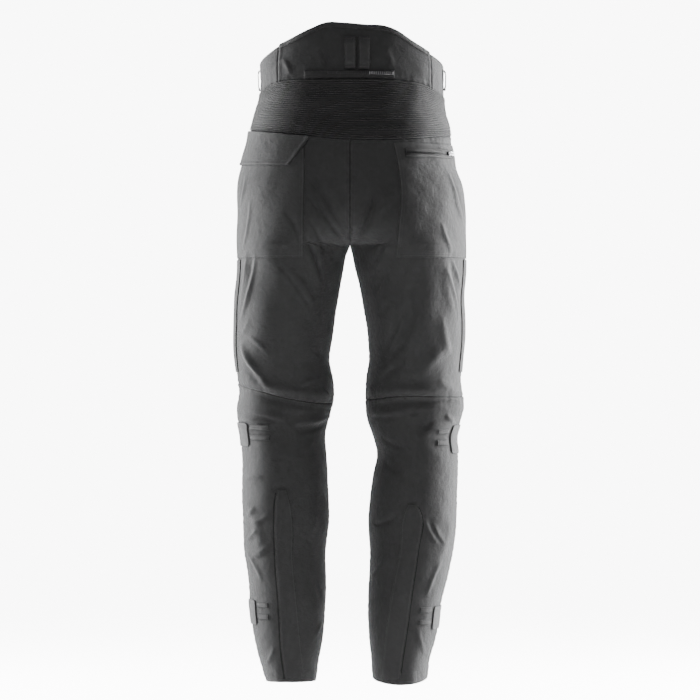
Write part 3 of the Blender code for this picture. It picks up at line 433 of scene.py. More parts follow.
def plain_point(side, angle, height):
    """Point of the cloth without folds: x from the ring's width, y from its depth behind or in front."""
    centre, half = ring(side, height)
    middle = curve(DEPTH, 1, height)
    reach = np.where(angle >= 0, curve(DEPTH, 2, height), curve(DEPTH, 3, height))
    x = side * (centre + half * np.cos(angle))
    y = middle + reach * np.sin(angle)
    return np.stack([x, y, np.broadcast_to(height, x.shape)], axis=-1)


def outward(side, angle, height):
    """Unit direction out of the cloth, from small steps round the ring and down it."""
    around = plain_point(side, angle + 0.01, height) - plain_point(side, angle - 0.01, height)
    upward = plain_point(side, angle, height + 1.0) - plain_point(side, angle, height - 1.0)
    normal = np.cross(around, upward) * side
    return normal / np.linalg.norm(normal, axis=-1, keepdims=True)


def seen_angle(side, face, x, height):
    """Angle of the point that lies at distance x from the centre line, on the back or on the front."""
    centre, half = ring(side, height)
    return face * np.arccos(np.clip((x - centre) / half, -1.0, 1.0))


def fold_line(side, face, x1, z1, x2, z2, bow):
    """Points of a fold's bowed line on the plain cloth."""
    share = np.linspace(0.0, 1.0, FOLD_STEPS + 1)
    length = math.hypot(x2 - x1, z2 - z1)
    push = bow * 4 * share * (1 - share)
    x = x1 + (x2 - x1) * share + (z2 - z1) / length * push
    z = z1 + (z2 - z1) * share - (x2 - x1) / length * push
    return plain_point(side, seen_angle(side, face, x, z), z)


def fold_height(side, points, normals):
    """Sum of the folds: a bell across each bowed line, faded to nothing at its ends and at the centre seam."""
    total = np.zeros(len(points))
    for fold_side, face, x1, z1, x2, z2, bow, half_width, size, lean in FOLDS + CREASES:
        if fold_side != side:
            continue
        line = fold_line(side, face, x1, z1, x2, z2, bow)
        reach = (5.0 if lean else 3.0) * half_width
        near = np.all((points > line.min(0) - reach) & (points < line.max(0) + reach), axis=1)
        if not near.any():
            continue
        steps = np.diff(line, axis=0)
        from_start = points[near][:, None, :] - line[None, :-1, :]
        t = np.clip((from_start * steps).sum(-1) / (steps * steps).sum(-1), 0.0, 1.0)
        off = from_start - t[..., None] * steps
        distance = np.linalg.norm(off, axis=-1)
        k = distance.argmin(axis=1)
        row = np.arange(len(k))
        distance, off, step = distance[row, k], off[row, k], steps[k]
        along = (k + t[row, k]) / FOLD_STEPS
        height = bell(distance, half_width)
        if lean:
            turned = (np.cross(step, off) * normals[near]).sum(-1)
            signed = distance * np.sign(turned) * np.sign(lean)
            height = height - abs(lean) * bell(signed - 1.7 * half_width, 1.3 * half_width)
        total[near] += size * height * np.sin(math.pi * along) ** FADE_POWER
    return total * smooth(np.abs(points[:, 0]) / CENTRE_EASE)


def softness(points):
    """Slow unevenness of worn cloth: three slanted waves of unlike lengths multiplied in pairs."""
    x, y, z = points.T
    long = np.sin(z / 27.0 + x / 41.0 + y / 33.0 + 1.3) * np.sin(x / 21.0 - z / 53.0 + y / 47.0 + 0.4)
    short = np.sin(z / 11.0 + x / 23.0 - y / 15.0) * np.sin(x / 9.0 - z / 29.0 + y / 13.0 + 2.1)
    return 0.75 * long + 0.28 * short


def form(side, angle, height):
    """Plain points, outward directions and fold heights of one side at angles and heights of any shape."""
    angle, height = np.broadcast_arrays(np.asarray(angle, float), np.asarray(height, float))
    points, normals = plain_point(side, angle, height), outward(side, angle, height)
    flat = points.reshape(-1, 3)
    folds = fold_height(side, flat, normals.reshape(-1, 3)) + softness(flat)
    return points, normals, folds.reshape(angle.shape)


def torso_form(turn, height):
    """The same above the seat, with the angle running from the left side seam over the back to the right."""
    turn, height = np.broadcast_arrays(np.asarray(turn, float), np.asarray(height, float))
    points, normals, folds = np.empty(turn.shape + (3,)), np.empty(turn.shape + (3,)), np.empty(turn.shape)
    for side, here in ((LEFT, turn <= QUARTER), (RIGHT, turn > QUARTER)):
        angle = turn[here] if side == LEFT else math.pi - turn[here]
        points[here], normals[here], folds[here] = form(side, angle, height[here])
    return points, normals, folds


def last_angle(side, height):
    """Angle where a ring meets the centre seam above the crotch, or the inseam below it."""
    centre, half = ring(side, height)
    return np.arccos(np.clip((SEAM_GAP / 2 - centre) / half, -1.0, 1.0))


def gap_angle(height):
    """Angle that leaves half a seam gap at the side seam and the inseam."""
    return SEAM_GAP / 2 / curve(DEPTH, 3, height)


def degrees_curve(table, angle):
    """Height of a seam at an angle in radians."""
    return curve(table, 1, np.degrees(angle))


def side_name(side):
    """Word for the wearer's side."""
    return "left" if side == LEFT else "right"


def lines_of_grid(length, step, close):
    """Places from 0 to 1 of a grid's lines: close to both edges first by the distances in close, then even."""
    count = max(2, round((length - 2 * close[-1]) / step))
    middle = np.linspace(close[-1], length - close[-1], count + 1)
    ends = np.array(close[:-1])
    return np.concatenate([ends, middle, length - ends[::-1]]) / length


class Cut:
    """A cut piece of cloth on the worn form. Places on it run from 0 to 1 across and down."""

    winding = 1
    close = (0.0, 0.8, 1.7, 2.8, 4.2)
    take_up = 1.0

    def __init__(self, edges):
        """Edges gives the kind of edge at the start, end, top and foot."""
        self.edges = edges
        share = np.linspace(0.0, 1.0, 33)
        points = self.place(share[None, :], share[:, None])[0]
        across = np.linalg.norm(np.diff(points, axis=1), axis=-1).sum(axis=1)
        down = np.linalg.norm(np.diff(points, axis=0), axis=-1).sum(axis=0)
        self.share, self.widths, self.lengths = share, across, down

    def place(self, across, down):
        """Plain points, outward directions and fold heights; each kind of piece gives its own."""
        raise NotImplementedError

    def relief(self, across, down, distances):
        """Height of the piece's own relief."""
        return np.zeros(np.broadcast(across, down).shape)

    def distances(self, across, down):
        """Distances to the start, end, top and foot edges, and how far along the piece and round it."""
        width = np.interp(down, self.share, self.widths)
        length = np.interp(across, self.share, self.lengths)
        return {
            "start": across * width, "end": (1 - across) * width,
            "top": down * length, "foot": (1 - down) * length,
        }

    def edge_height(self, distances):
        """Sum of what the four edges do to the surface beside them."""
        total = 0.0
        for edge, kind in self.edges.items():
            off = distances[edge]
            along = distances["top"] if edge in ("start", "end") else distances["start"]
            if kind in ("seam", "lapped"):
                total = total - SEAM_SINK * bell(off, SEAM_REACH)
                waves = np.sin(along / 1.9 + 1.2 * np.sin(along / 17.0)) + 0.8 * np.sin(along / 3.1 + 0.6)
                total = total + PUCKER * waves * np.exp(-off / 9.0) * smooth(off / 2.0)
            if kind == "lapped":
                total = total + LAP * smooth((LAP_WIDTH - off) / 1.5 + 0.5)
            if kind == "folded":
                total = total - FOLD_OVER * (1 - np.sqrt(1 - (1 - np.clip(off / FOLD_REACH, 0, 1)) ** 2))
            if kind == "rolled":
                total = total + ROLL * bell(off - ROLL_MIDDLE, ROLL_REACH)
            for row in EDGE_ROWS.get(kind, ()):
                total = total - STITCH_DIP * bell(off - row, STITCH_REACH)
            if kind == "hem":
                total = total + HEM_LAP * smooth((HEM_WIDTH - off) / 1.5 + 0.5)
                waves = np.sin(along / 4.7) + 0.7 * np.sin(along / 7.9 + 1.0)
                total = total + PUCKER * waves * bell(off - 0.5 * HEM_WIDTH, 0.6 * HEM_WIDTH)
        return total

    def surface(self, across, down, lift=0.0):
        """Finished points of the piece's outer face, moved out by lift."""
        across, down = np.broadcast_arrays(np.asarray(across, float), np.asarray(down, float))
        points, normals, folds = self.place(across, down)
        distances = self.distances(across, down)
        move = folds + lift + self.edge_height(distances) + self.relief(across, down, distances)
        shift = normals * move[..., None]
        shift[..., 0] *= 1 - bell(points[..., 0], CENTRE_HOLD)
        return points + shift, normals

    def seam_distance(self, across, down):
        """Distance to the nearest edge, in metres: the finish paints shade into the seams with it and puts a rub of
        wear beside them.
        """
        return np.minimum.reduce(list(self.distances(across, down).values())) * MM

    def lines(self, step):
        """Places of the grid's columns and rows."""
        across = lines_of_grid(self.widths.mean(), step, self.close)[None, :]
        return across, lines_of_grid(self.lengths.mean(), step, self.close)[:, None]

    def grid(self, step):
        """Grid of the finished points, with the piece's own flat coordinates and seam distances in metres."""
        across, down = np.broadcast_arrays(*self.lines(step))
        points = self.surface(across, down)[0]
        flat = np.stack([(across - 0.5) * np.interp(down, self.share, self.widths),
                         (1 - down) * self.lengths.mean()], axis=-1)
        return points, flat * MM, self.seam_distance(across, down)


class LegPanel(Cut):
    """Long panel of one leg: its places lie between its side edges and between its top and its foot."""

    def __init__(self, side, face, top, foot, at_waist, edges):
        self.side, self.face, self.top, self.foot = side, face, top, foot
        self.turn = QUARTER if at_waist else math.pi
        self.winding = side * face
        super().__init__(edges)

    def spot(self, across, down):
        """Angle and height of a place."""
        top = degrees_curve(self.top, self.face * across * self.turn) - SEAM_GAP / 2
        foot = degrees_curve(self.foot, across * math.pi) + SEAM_GAP / 2
        height = top + (foot - top) * down
        gap = gap_angle(height)
        ends = np.where(height < CROTCH, 2.0, 1.0)
        return self.face * (gap + across * (last_angle(self.side, height) - gap * ends)), height

    def place(self, across, down):
        return form(self.side, *self.spot(across, down))


class WaistPiece(Cut):
    """Piece above the seat between two angles and two seams."""

    def __init__(self, start, stop, top, foot, edges):
        self.start, self.stop, self.top, self.foot = math.radians(start), math.radians(stop), top, foot
        super().__init__(edges)

    def spot(self, across, down):
        """Angle and height of a place."""
        gap = SEAM_GAP / 2 / curve(OUTSIDE, 1, 0.0)
        turn = self.start + gap + (self.stop - self.start - 2 * gap) * across
        top = degrees_curve(self.top, turn) - SEAM_GAP / 2
        foot = degrees_curve(self.foot, turn) + SEAM_GAP / 2
        return turn, top + (foot - top) * down

    def place(self, across, down):
        return torso_form(*self.spot(across, down))


class RibPanel(WaistPiece):
    """Stretch panel: round ribs with narrow valleys, which take up more cloth than a flat piece."""

    take_up = 1.45

    def relief(self, across, down, distances):
        wave = np.abs(np.sin(math.pi * RIB_COUNT * down))
        return RIB_HEIGHT * wave**0.7

    def seam_distance(self, across, down):
        # The valleys between the ribs count as seams, so the finish paints shade into them
        valley = 2.2 * MM * np.abs(np.sin(math.pi * RIB_COUNT * down))
        return np.minimum(super().seam_distance(across, down), valley)

    def lines(self, step):
        return super().lines(step)[0], np.linspace(0.0, 1.0, 8 * RIB_COUNT + 1)[:, None]


class FrontBand(Cut):
    """Front half of the waistband, from the side seam to the centre front."""

    def __init__(self, side, edges):
        self.side = side
        self.winding = -side
        super().__init__(edges)

    def spot(self, across, down):
        """Angle and height of a place."""
        top = degrees_curve(FRONT_TOP[self.side], -across * QUARTER)
        foot = degrees_curve(FRONT_FOOT[self.side], -across * QUARTER) + SEAM_GAP / 2
        height = top + (foot - top) * down
        gap = gap_angle(height)
        return -(gap + across * (last_angle(self.side, height) - gap)), height

    def place(self, across, down):
        return form(self.side, *self.spot(across, down))


class Patch(Cut):
    """Piece sewn on a leg panel, between four edges, with round rims and corners.

    Top and foot give a height from an angle, outer and inner an angle from a height.
    """

    def __init__(self, panel, top, foot, outer, inner, lift, thick, corner=0.0, edges=None, bulge=0.0):
        self.panel, self.borders = panel, (top, foot, outer, inner)
        self.lift, self.thick, self.corner, self.bulge = lift, thick, corner, bulge
        self.winding = panel.winding
        self.close = (0.0, 0.12 * thick, 0.4 * thick, thick, 2.0 * thick)
        super().__init__(edges or {})

    def spot(self, across, down):
        """Angle and height of a place, found by settling both between their edges."""
        top, foot, outer, inner = self.borders
        height = top(0.0) + (foot(0.0) - top(0.0)) * down
        angle = np.zeros(height.shape)
        for _ in range(6):
            angle = outer(height) + (inner(height) - outer(height)) * across
            height = top(angle) + (foot(angle) - top(angle)) * down
        return angle, height

    def rounded(self, across, down):
        """Places pulled in at the corners, so that a square corner becomes a quarter of a disc."""
        if not self.corner:
            return across, down
        radius_across = min(0.5, self.corner / self.widths.mean())
        radius_down = min(0.5, self.corner / self.lengths.mean())
        x = np.clip((np.abs(across - 0.5) - 0.5) / radius_across + 1.0, 0.0, 1.0)
        y = np.clip((np.abs(down - 0.5) - 0.5) / radius_down + 1.0, 0.0, 1.0)
        pull_x = x * (1 - np.sqrt(1 - y * y / 2)) * radius_across
        pull_y = y * (1 - np.sqrt(1 - x * x / 2)) * radius_down
        return across - np.sign(across - 0.5) * pull_x, down - np.sign(down - 0.5) * pull_y

    def place(self, across, down):
        across, down = np.broadcast_arrays(across, down)
        if hasattr(self, "widths"):
            across, down = self.rounded(across, down)
        return form(self.panel.side, *self.spot(across, down))

    def relief(self, across, down, distances):
        rim = np.minimum.reduce([distances[edge] for edge in ("start", "end", "top", "foot")])
        t = np.clip(rim / self.thick, 0.0, 1.0)
        swell = self.bulge * np.sin(math.pi * across) * np.sin(math.pi * down)
        return self.lift + self.thick * np.sqrt(1 - (1 - t) ** 2) + swell


def fixed(value):
    """Edge that stays at one value."""
    return lambda place: np.full(np.shape(place), float(value))


def seen_edge(side, table, index):
    """Edge given by its distances from the centre line, as an angle for each height."""
    return lambda height: seen_angle(side, BACK, curve(table, index, height), height)


def grid_faces(rows, columns, winding=1, closed=False):
    """Corner numbers of the squares of a grid of points; a closed grid joins its last column to its first."""
    i, j = np.meshgrid(np.arange(rows - 1), np.arange(columns - (0 if closed else 1)), indexing="ij")
    after = (j + 1) % columns
    faces = np.stack([i * columns + j, (i + 1) * columns + j, (i + 1) * columns + after, i * columns + after], axis=-1)
    faces = faces.reshape(-1, 4)
    return faces if winding > 0 else faces[:, ::-1]


def new_piece(name, points, faces, material, flat=None, seam=None):
    """Object with its mesh in metres, its own flat coordinates as UV map, its seam distance and its material."""
    mesh = bpy.data.meshes.new(name)
    mesh.from_pydata((points.reshape(-1, 3) * MM).tolist(), [], faces if isinstance(faces, list) else faces.tolist())
    mesh.shade_smooth()
    if flat is not None:
        corners = np.empty(len(mesh.loops), dtype=np.int32)
        mesh.loops.foreach_get("vertex_index", corners)
        mesh.uv_layers.new(name="cloth").data.foreach_set("uv", flat.reshape(-1, 2)[corners].ravel())
    if seam is not None:
        mesh.attributes.new("seam", "FLOAT", "POINT").data.foreach_set("value", seam.ravel())
    mesh.materials.append(material)
    piece = bpy.data.objects.new(name, mesh)
    bpy.context.scene.collection.objects.link(piece)
    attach(piece, BODY)
    return piece


def unit(vectors):
    """Directions of length 1."""
    return vectors / np.linalg.norm(vectors, axis=-1, keepdims=True)


def row_places(cut, edge, off, shares):
    """Places beside one edge of a cut, at a distance from it, for shares of the way along it."""
    if edge in ("start", "end"):
        across, down = off / np.interp(shares, cut.share, cut.widths), shares
        return (1 - across, down) if edge == "end" else (across, down)
    down, across = off / np.interp(shares, cut.share, cut.lengths), shares
    return (across, 1 - down) if edge == "foot" else (across, down)


def stitch_ends(cut, edge, off, first=0.0, last=1.0):
    """Both ends of each stitch of a row, and the direction out of the cloth there."""
    length = (cut.lengths if edge in ("start", "end") else cut.widths).mean() * (last - first)
    count = max(2, int(length / STITCH_PITCH))
    middle = first + (np.arange(count) + 0.5) / count * (last - first)
    half = 0.5 * STITCH_LENGTH / STITCH_PITCH / count * (last - first)
    start, normals = cut.surface(*row_places(cut, edge, off, middle - half))
    stop = cut.surface(*row_places(cut, edge, off, middle + half))[0]
    return start, stop, normals


def thread_piece(name, start, stop, normals, radius=STITCH_RADIUS):
    """Stitches as spindles: five rings of four points, thick in the middle and sunk into the cloth at both ends."""
    share = np.array([0.0, 0.22, 0.5, 0.78, 1.0])
    thick = np.array([0.35, 0.9, 1.0, 0.9, 0.35]) * radius
    sink = np.array([-0.9, 0.15, 0.5, 0.15, -0.9]) * radius
    side = unit(np.cross(stop - start, normals))
    turn = QUARTER * np.arange(4) + QUARTER / 2
    centre = start[:, None] + (stop - start)[:, None] * share[:, None] + normals[:, None] * sink[:, None]
    round_it = side[:, None, None] * np.cos(turn)[:, None] + normals[:, None, None] * np.sin(turn)[:, None]
    points = centre[:, :, None] + round_it * thick[:, None, None]
    one = np.concatenate([grid_faces(5, 4, closed=True), [[0, 1, 2, 3], [19, 18, 17, 16]]])
    faces = (one[None] + 20 * np.arange(len(start))[:, None, None]).reshape(-1, 4)
    return new_piece(name, points, faces, THREAD)


def sew_rows(name, cut, extra=()):
    """All rows of stitches of a cut: those that its kinds of edge have, and extra ones."""
    rows = [(edge, off) for edge, kind in cut.edges.items() for off in EDGE_ROWS.get(kind, ())] + list(extra)
    if not rows:
        return []
    parts = [stitch_ends(cut, *row) for row in rows]
    start, stop, normals = (np.concatenate([part[k] for part in parts]) for k in range(3))
    return [thread_piece(name, start, stop, normals)]


def sew(name, cut, step, thickness, material, nodes, extra=(), trims=()):
    """Piece of cloth from its cut, thickened towards the inside and stitched, standing for its node."""
    points, flat, seam = cut.grid(step)
    faces = grid_faces(*points.shape[:2], cut.winding)
    piece = new_piece(name, points, faces, material, flat, seam)
    wall = piece.modifiers.new("thickness", "SOLIDIFY")
    wall.thickness = thickness * MM
    wall.offset = -1.0
    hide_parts(*nodes)
    trims = list(trims) + sew_rows(name.replace("cloth", "stitches"), cut, extra)
    return piece


def narrow(name, cut, step, thickness, material, nodes=()):
    """Narrow band of tape from its cut, thickened and stitched; it belongs to the cloth that it is sewn on."""
    points, flat, seam = cut.grid(step)
    piece = new_piece(name, points, grid_faces(*points.shape[:2], cut.winding), material, flat, seam)
    wall = piece.modifiers.new("thickness", "SOLIDIFY")
    wall.thickness = thickness * MM
    wall.offset = -1.0
    if nodes:
        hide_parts(*nodes)
    return [piece] + sew_rows(name + "_stitches", cut)


def binding(name, cut, wall_thick, width, material, proud=0.8):
    """Tape folded over the top edge of a cut: down its outer face, over the edge in a half circle, down inside."""
    across = lines_of_grid(cut.widths.mean(), 3.0, (0.0, 1.5, 3.0))
    length = np.interp(across, cut.share, cut.lengths)
    top, normals = cut.surface(across, 0.0)
    up = unit(top - cut.surface(across, 2.0 / length)[0])
    rows = []
    for share, lift in ((1.0, -0.3), (1.0, 0.45), (0.93, proud), (0.5, proud + 0.25), (0.12, proud)):
        rows.append(cut.surface(across, share * width / length, lift=lift)[0])
    centre = top - normals * (wall_thick / 2)
    for turn in np.linspace(0.0, math.pi, 9):
        reach = wall_thick / 2 + proud
        rows.append(centre + normals * reach * math.cos(turn) + up * reach * math.sin(turn) * 0.9)
    for share, lift in ((0.2, proud), (0.9, proud), (1.0, -0.2)):
        rows.append(cut.surface(across, share * width / length, lift=-wall_thick - lift)[0])
    points = np.stack(rows)
    around = np.cumsum(np.concatenate([[0.0], np.linalg.norm(np.diff(points[:, 8], axis=0), axis=-1)]))
    along = np.broadcast_to(across * cut.widths.mean(), points.shape[:2])
    flat = np.stack([np.broadcast_to(around[:, None], points.shape[:2]), along], axis=-1) * MM
    faces = grid_faces(*points.shape[:2], -cut.winding)
    # Seam distance 0 at both long edges, so the finish paints shade where the tape meets the cloth
    seam = np.full(points.shape[:2], 0.01)
    seam[0] = seam[-1] = 0.0
    piece = new_piece(name, points, faces, material, flat, seam)
    count = int(cut.widths.mean() / STITCH_PITCH)
    middle, half = (np.arange(count) + 0.5) / count, 0.5 * STITCH_LENGTH / STITCH_PITCH / count
    down = 0.84 * width / np.interp(middle, cut.share, cut.lengths)
    start, out = cut.surface(middle - half, down, lift=proud + 0.05)
    stop = cut.surface(middle + half, down, lift=proud + 0.05)[0]
    return [piece, thread_piece(name + "_stitches", start, stop, out)]


def calc(tree, operation, first, second=0.0, third=None):
    """Math node fed by sockets or numbers."""
    node = tree.nodes.new("ShaderNodeMath")
    node.operation = operation
    for socket, value in zip(node.inputs, (first, second, third)):
        if isinstance(value, bpy.types.NodeSocket):
            tree.links.new(value, socket)
        elif value is not None:
            socket.default_value = value
    return node.outputs[0]


def effect(name, inputs, outputs):
    """Empty node group with named inputs and outputs."""
    tree = bpy.data.node_groups.new(name, "ShaderNodeTree")
    for label, kind, value in inputs:
        socket = tree.interface.new_socket(label, in_out="INPUT", socket_type=kind)
        if value is not None:
            socket.default_value = value
    for label in outputs:
        tree.interface.new_socket(label, in_out="OUTPUT", socket_type="NodeSocketFloat")
    return tree, tree.nodes.new("NodeGroupInput").outputs, tree.nodes.new("NodeGroupOutput").inputs


def noise(tree, vector, scale, detail=2.0, roughness=0.5):
    """Noise from 0 to 1 at a number of waves per metre."""
    node = tree.nodes.new("ShaderNodeTexNoise")
    node.inputs["Scale"].default_value = scale
    node.inputs["Detail"].default_value = detail
    node.inputs["Roughness"].default_value = roughness
    tree.links.new(vector, node.inputs["Vector"])
    return node.outputs["Fac"]


def woven_threads():
    """Plain weave: rounded threads both ways, each one higher where the sines of both ways agree in sign."""
    tree, given, out = effect("woven_threads", [("Flat", "NodeSocketVector", None),
                                                ("Across", "NodeSocketFloat", 0.0005),
                                                ("Along", "NodeSocketFloat", 0.0005)], ["Height", "Gap"])
    split = tree.nodes.new("ShaderNodeSeparateXYZ")
    tree.links.new(given["Flat"], split.inputs[0])
    waves = []
    for axis, pitch in (("X", given["Across"]), ("Y", given["Along"])):
        turns = calc(tree, "DIVIDE", split.outputs[axis], pitch)
        waves.append(calc(tree, "SINE", calc(tree, "MULTIPLY", turns, math.pi)))
    over = calc(tree, "MULTIPLY", calc(tree, "MULTIPLY", waves[0], waves[1]), 0.4)
    warp = calc(tree, "MULTIPLY", calc(tree, "ABSOLUTE", waves[0]), calc(tree, "ADD", 0.6, over))
    weft = calc(tree, "MULTIPLY", calc(tree, "ABSOLUTE", waves[1]), calc(tree, "SUBTRACT", 0.6, over))
    height = calc(tree, "MAXIMUM", warp, weft)
    tree.links.new(height, out["Height"])
    # Gap: how low the threads lie; the finish darkens the colour there as painted shade between the threads
    tree.links.new(calc(tree, "SUBTRACT", 1.0, calc(tree, "SMOOTH_MIN", height, 1.0, 0.1)), out["Gap"])
    return tree


def worn_cloth():
    """Slow and fine mottling of tone, painted shade in the seam grooves, a paler rub of wear beside them, small
    crumples and loose fuzz.
    """
    tree, given, out = effect("worn_cloth", [("Place", "NodeSocketVector", None),
                                             ("Seam", "NodeSocketFloat", 0.01),
                                             ("Mottle", "NodeSocketFloat", 0.2),
                                             ("Rub", "NodeSocketFloat", 0.2)], ["Shade", "Rub", "Crumple", "Fuzz"])
    slow = noise(tree, given["Place"], 14.0, 3.0)
    fine = noise(tree, given["Place"], 160.0, 3.0, 0.6)
    fuzz = noise(tree, given["Place"], 1400.0, 2.0, 0.6)
    # Painted shade: the colour darkens within about a millimetre of a seam
    groove_shade = calc(tree, "POWER", calc(tree, "DIVIDE", given["Seam"], 0.0013), 2.0)
    groove_shade = calc(tree, "EXPONENT", calc(tree, "MULTIPLY", groove_shade, -1.0))
    ridge = calc(tree, "DIVIDE", calc(tree, "SUBTRACT", given["Seam"], 0.0028), 0.0013)
    ridge = calc(tree, "EXPONENT", calc(tree, "MULTIPLY", calc(tree, "POWER", ridge, 2.0), -1.0))
    patchy = calc(tree, "ADD", slow, calc(tree, "MULTIPLY", fine, 0.7))
    mottle = calc(tree, "MULTIPLY", calc(tree, "SUBTRACT", patchy, 0.85), given["Mottle"])
    # Shade: the mottled tone times the painted seam shade
    shade = calc(tree, "MULTIPLY", calc(tree, "ADD", 1.0, mottle), calc(tree, "MULTIPLY_ADD", groove_shade, -0.6, 1.0))
    tree.links.new(shade, out["Shade"])
    rub = calc(tree, "MULTIPLY", calc(tree, "MULTIPLY", ridge, fine), given["Rub"])
    tree.links.new(rub, out["Rub"])
    crumple = calc(tree, "ADD", noise(tree, given["Place"], 95.0, 2.0), calc(tree, "MULTIPLY", fine, 0.45))
    tree.links.new(crumple, out["Crumple"])
    tree.links.new(fuzz, out["Fuzz"])
    return tree


def brushed_streaks():
    """Fine streaks of brushed metal and small stains, from noise stretched one way."""
    tree, given, out = effect("brushed_streaks", [("Place", "NodeSocketVector", None)], ["Streak", "Stain"])
    turn = tree.nodes.new("ShaderNodeMapping")
    turn.inputs["Scale"].default_value = (300.0, 9000.0, 2500.0)
    tree.links.new(given["Place"], turn.inputs["Vector"])
    tree.links.new(noise(tree, turn.outputs[0], 1.0, 2.0), out["Streak"])
    tree.links.new(noise(tree, given["Place"], 900.0, 3.0), out["Stain"])
    return tree


WEAVE, WEAR_AND_SHADE, STREAKS = woven_threads(), worn_cloth(), brushed_streaks()


def place_group(tree, group, **values):
    """Node group in a material, with numbers and sockets given by input name."""
    node = tree.nodes.new("ShaderNodeGroup")
    node.node_tree = group
    for label, value in values.items():
        if isinstance(value, bpy.types.NodeSocket):
            tree.links.new(value, node.inputs[label])
        else:
            node.inputs[label].default_value = value
    return node.outputs


def blank_material(name):
    """Material with nodes, its tree and its shader."""
    material = bpy.data.materials.new(name)
    material.use_nodes = True
    return material, material.node_tree, material.node_tree.nodes["Principled BSDF"]


def shaded(tree, colour, factor):
    """Colour multiplied by a factor that changes over the surface."""
    scale = tree.nodes.new("ShaderNodeVectorMath")
    scale.operation = "SCALE"
    scale.inputs[0].default_value = colour
    tree.links.new(factor, scale.inputs["Scale"])
    return scale.outputs[0]


def bump(tree, height, depth, strength=1.0, below=None):
    """Normal from a height map whose full range is a depth in metres."""
    node = tree.nodes.new("ShaderNodeBump")
    node.inputs["Strength"].default_value = strength
    node.inputs["Distance"].default_value = depth
    tree.links.new(height, node.inputs["Height"])
    if below is not None:
        tree.links.new(below, node.inputs["Normal"])
    return node.outputs[0]


def cloth_finish(name, colour, thread, roughness, sheen, mottle=0.35, rub=0.5, crumple=0.0011, fuzz=0.00012):
    """Woven cloth: threads across and along, with painted shade between them and in the seams, mottled tone, a rub of
    wear, crumples and fuzz, and a soft sheen at its sides.
    """
    material, tree, shader = blank_material(name)
    place = tree.nodes.new("ShaderNodeTexCoord").outputs["Object"]
    flat = tree.nodes.new("ShaderNodeUVMap")
    flat.uv_map = "cloth"
    seam = tree.nodes.new("ShaderNodeAttribute")
    seam.attribute_name = "seam"
    weave = place_group(tree, WEAVE, Flat=flat.outputs[0], Across=thread[0], Along=thread[1])
    wear_and_shade = place_group(tree, WEAR_AND_SHADE, Place=place, Seam=seam.outputs["Fac"], Mottle=mottle, Rub=rub)
    # Painted shade in the gaps between the threads; the seams get painted shade through the Shade output
    light = calc(tree, "MULTIPLY_ADD", weave["Gap"], -0.35, 1.15)
    light = calc(tree, "ADD", calc(tree, "MULTIPLY", light, wear_and_shade["Shade"]), wear_and_shade["Rub"])
    tree.links.new(shaded(tree, colour, light), shader.inputs["Base Color"])
    rough = calc(tree, "MULTIPLY_ADD", wear_and_shade["Fuzz"], 0.16, roughness - 0.08)
    tree.links.new(rough, shader.inputs["Roughness"])
    shader.inputs["Specular IOR Level"].default_value = 0.32
    shader.inputs["Sheen Weight"].default_value = sheen
    shader.inputs["Sheen Roughness"].default_value = 0.42
    shader.inputs["Sheen Tint"].default_value = (0.9, 0.92, 0.95, 1.0)
    soft = bump(tree, wear_and_shade["Crumple"], crumple)
    fuzzy = bump(tree, wear_and_shade["Fuzz"], fuzz, below=soft)
    tree.links.new(bump(tree, weave["Height"], 0.25 * thread[0], below=fuzzy), shader.inputs["Normal"])
    return material


def metal_finish(name, colour, roughness):
    """Nickel: brushed streaks in colour and height, with small dull stains in colour and roughness."""
    material, tree, shader = blank_material(name)
    place = tree.nodes.new("ShaderNodeTexCoord").outputs["Object"]
    brushed = place_group(tree, STREAKS, Place=place)
    light = calc(tree, "SUBTRACT", calc(tree, "MULTIPLY_ADD", brushed["Streak"], 0.3, 1.0),
                 calc(tree, "MULTIPLY", brushed["Stain"], 0.3))
    tree.links.new(shaded(tree, colour, light), shader.inputs["Base Color"])
    tree.links.new(calc(tree, "MULTIPLY_ADD", brushed["Stain"], 0.3, roughness), shader.inputs["Roughness"])
    shader.inputs["Metallic"].default_value = 1.0
    tree.links.new(bump(tree, brushed["Streak"], 0.00004), shader.inputs["Normal"])
    return material


def thread_finish(name, colour):
    """Sewing thread: fine noise in its colour, roughness and height."""
    material, tree, shader = blank_material(name)
    place = tree.nodes.new("ShaderNodeTexCoord").outputs["Object"]
    fine = noise(tree, place, 2600.0, 1.0)
    tree.links.new(shaded(tree, colour, calc(tree, "MULTIPLY_ADD", fine, 0.8, 0.6)), shader.inputs["Base Color"])
    tree.links.new(calc(tree, "MULTIPLY_ADD", fine, 0.3, 0.35), shader.inputs["Roughness"])
    tree.links.new(bump(tree, fine, 0.0001), shader.inputs["Normal"])
    return material


SHELL = cloth_finish("shell_cloth", (0.0210, 0.0210, 0.0216), (0.00052, 0.00060), 0.72, 0.14)
RIB = cloth_finish("rib_cloth", (0.0170, 0.0170, 0.0175), (0.00070, 0.00110), 0.60, 0.10, rub=0.0, crumple=0.0004)
SOFT = cloth_finish("kidney_cloth", (0.0190, 0.0190, 0.0196), (0.00045, 0.00045), 0.80, 0.14, crumple=0.0008)
POCKET = cloth_finish("pocket_cloth", (0.0240, 0.0240, 0.0246), (0.00052, 0.00060), 0.70, 0.12)
WEBBING = cloth_finish("webbing", (0.0190, 0.0190, 0.0196), (0.00110, 0.00080), 0.62, 0.08, crumple=0.0003)
TAB = cloth_finish("tab_fabric", (0.0700, 0.0700, 0.0706), (0.00120, 0.00120), 0.85, 0.25, crumple=0.0004)
TAPE = cloth_finish("zip_tape", (0.0085, 0.0085, 0.0090), (0.00080, 0.00050), 0.60, 0.05, crumple=0.0002)
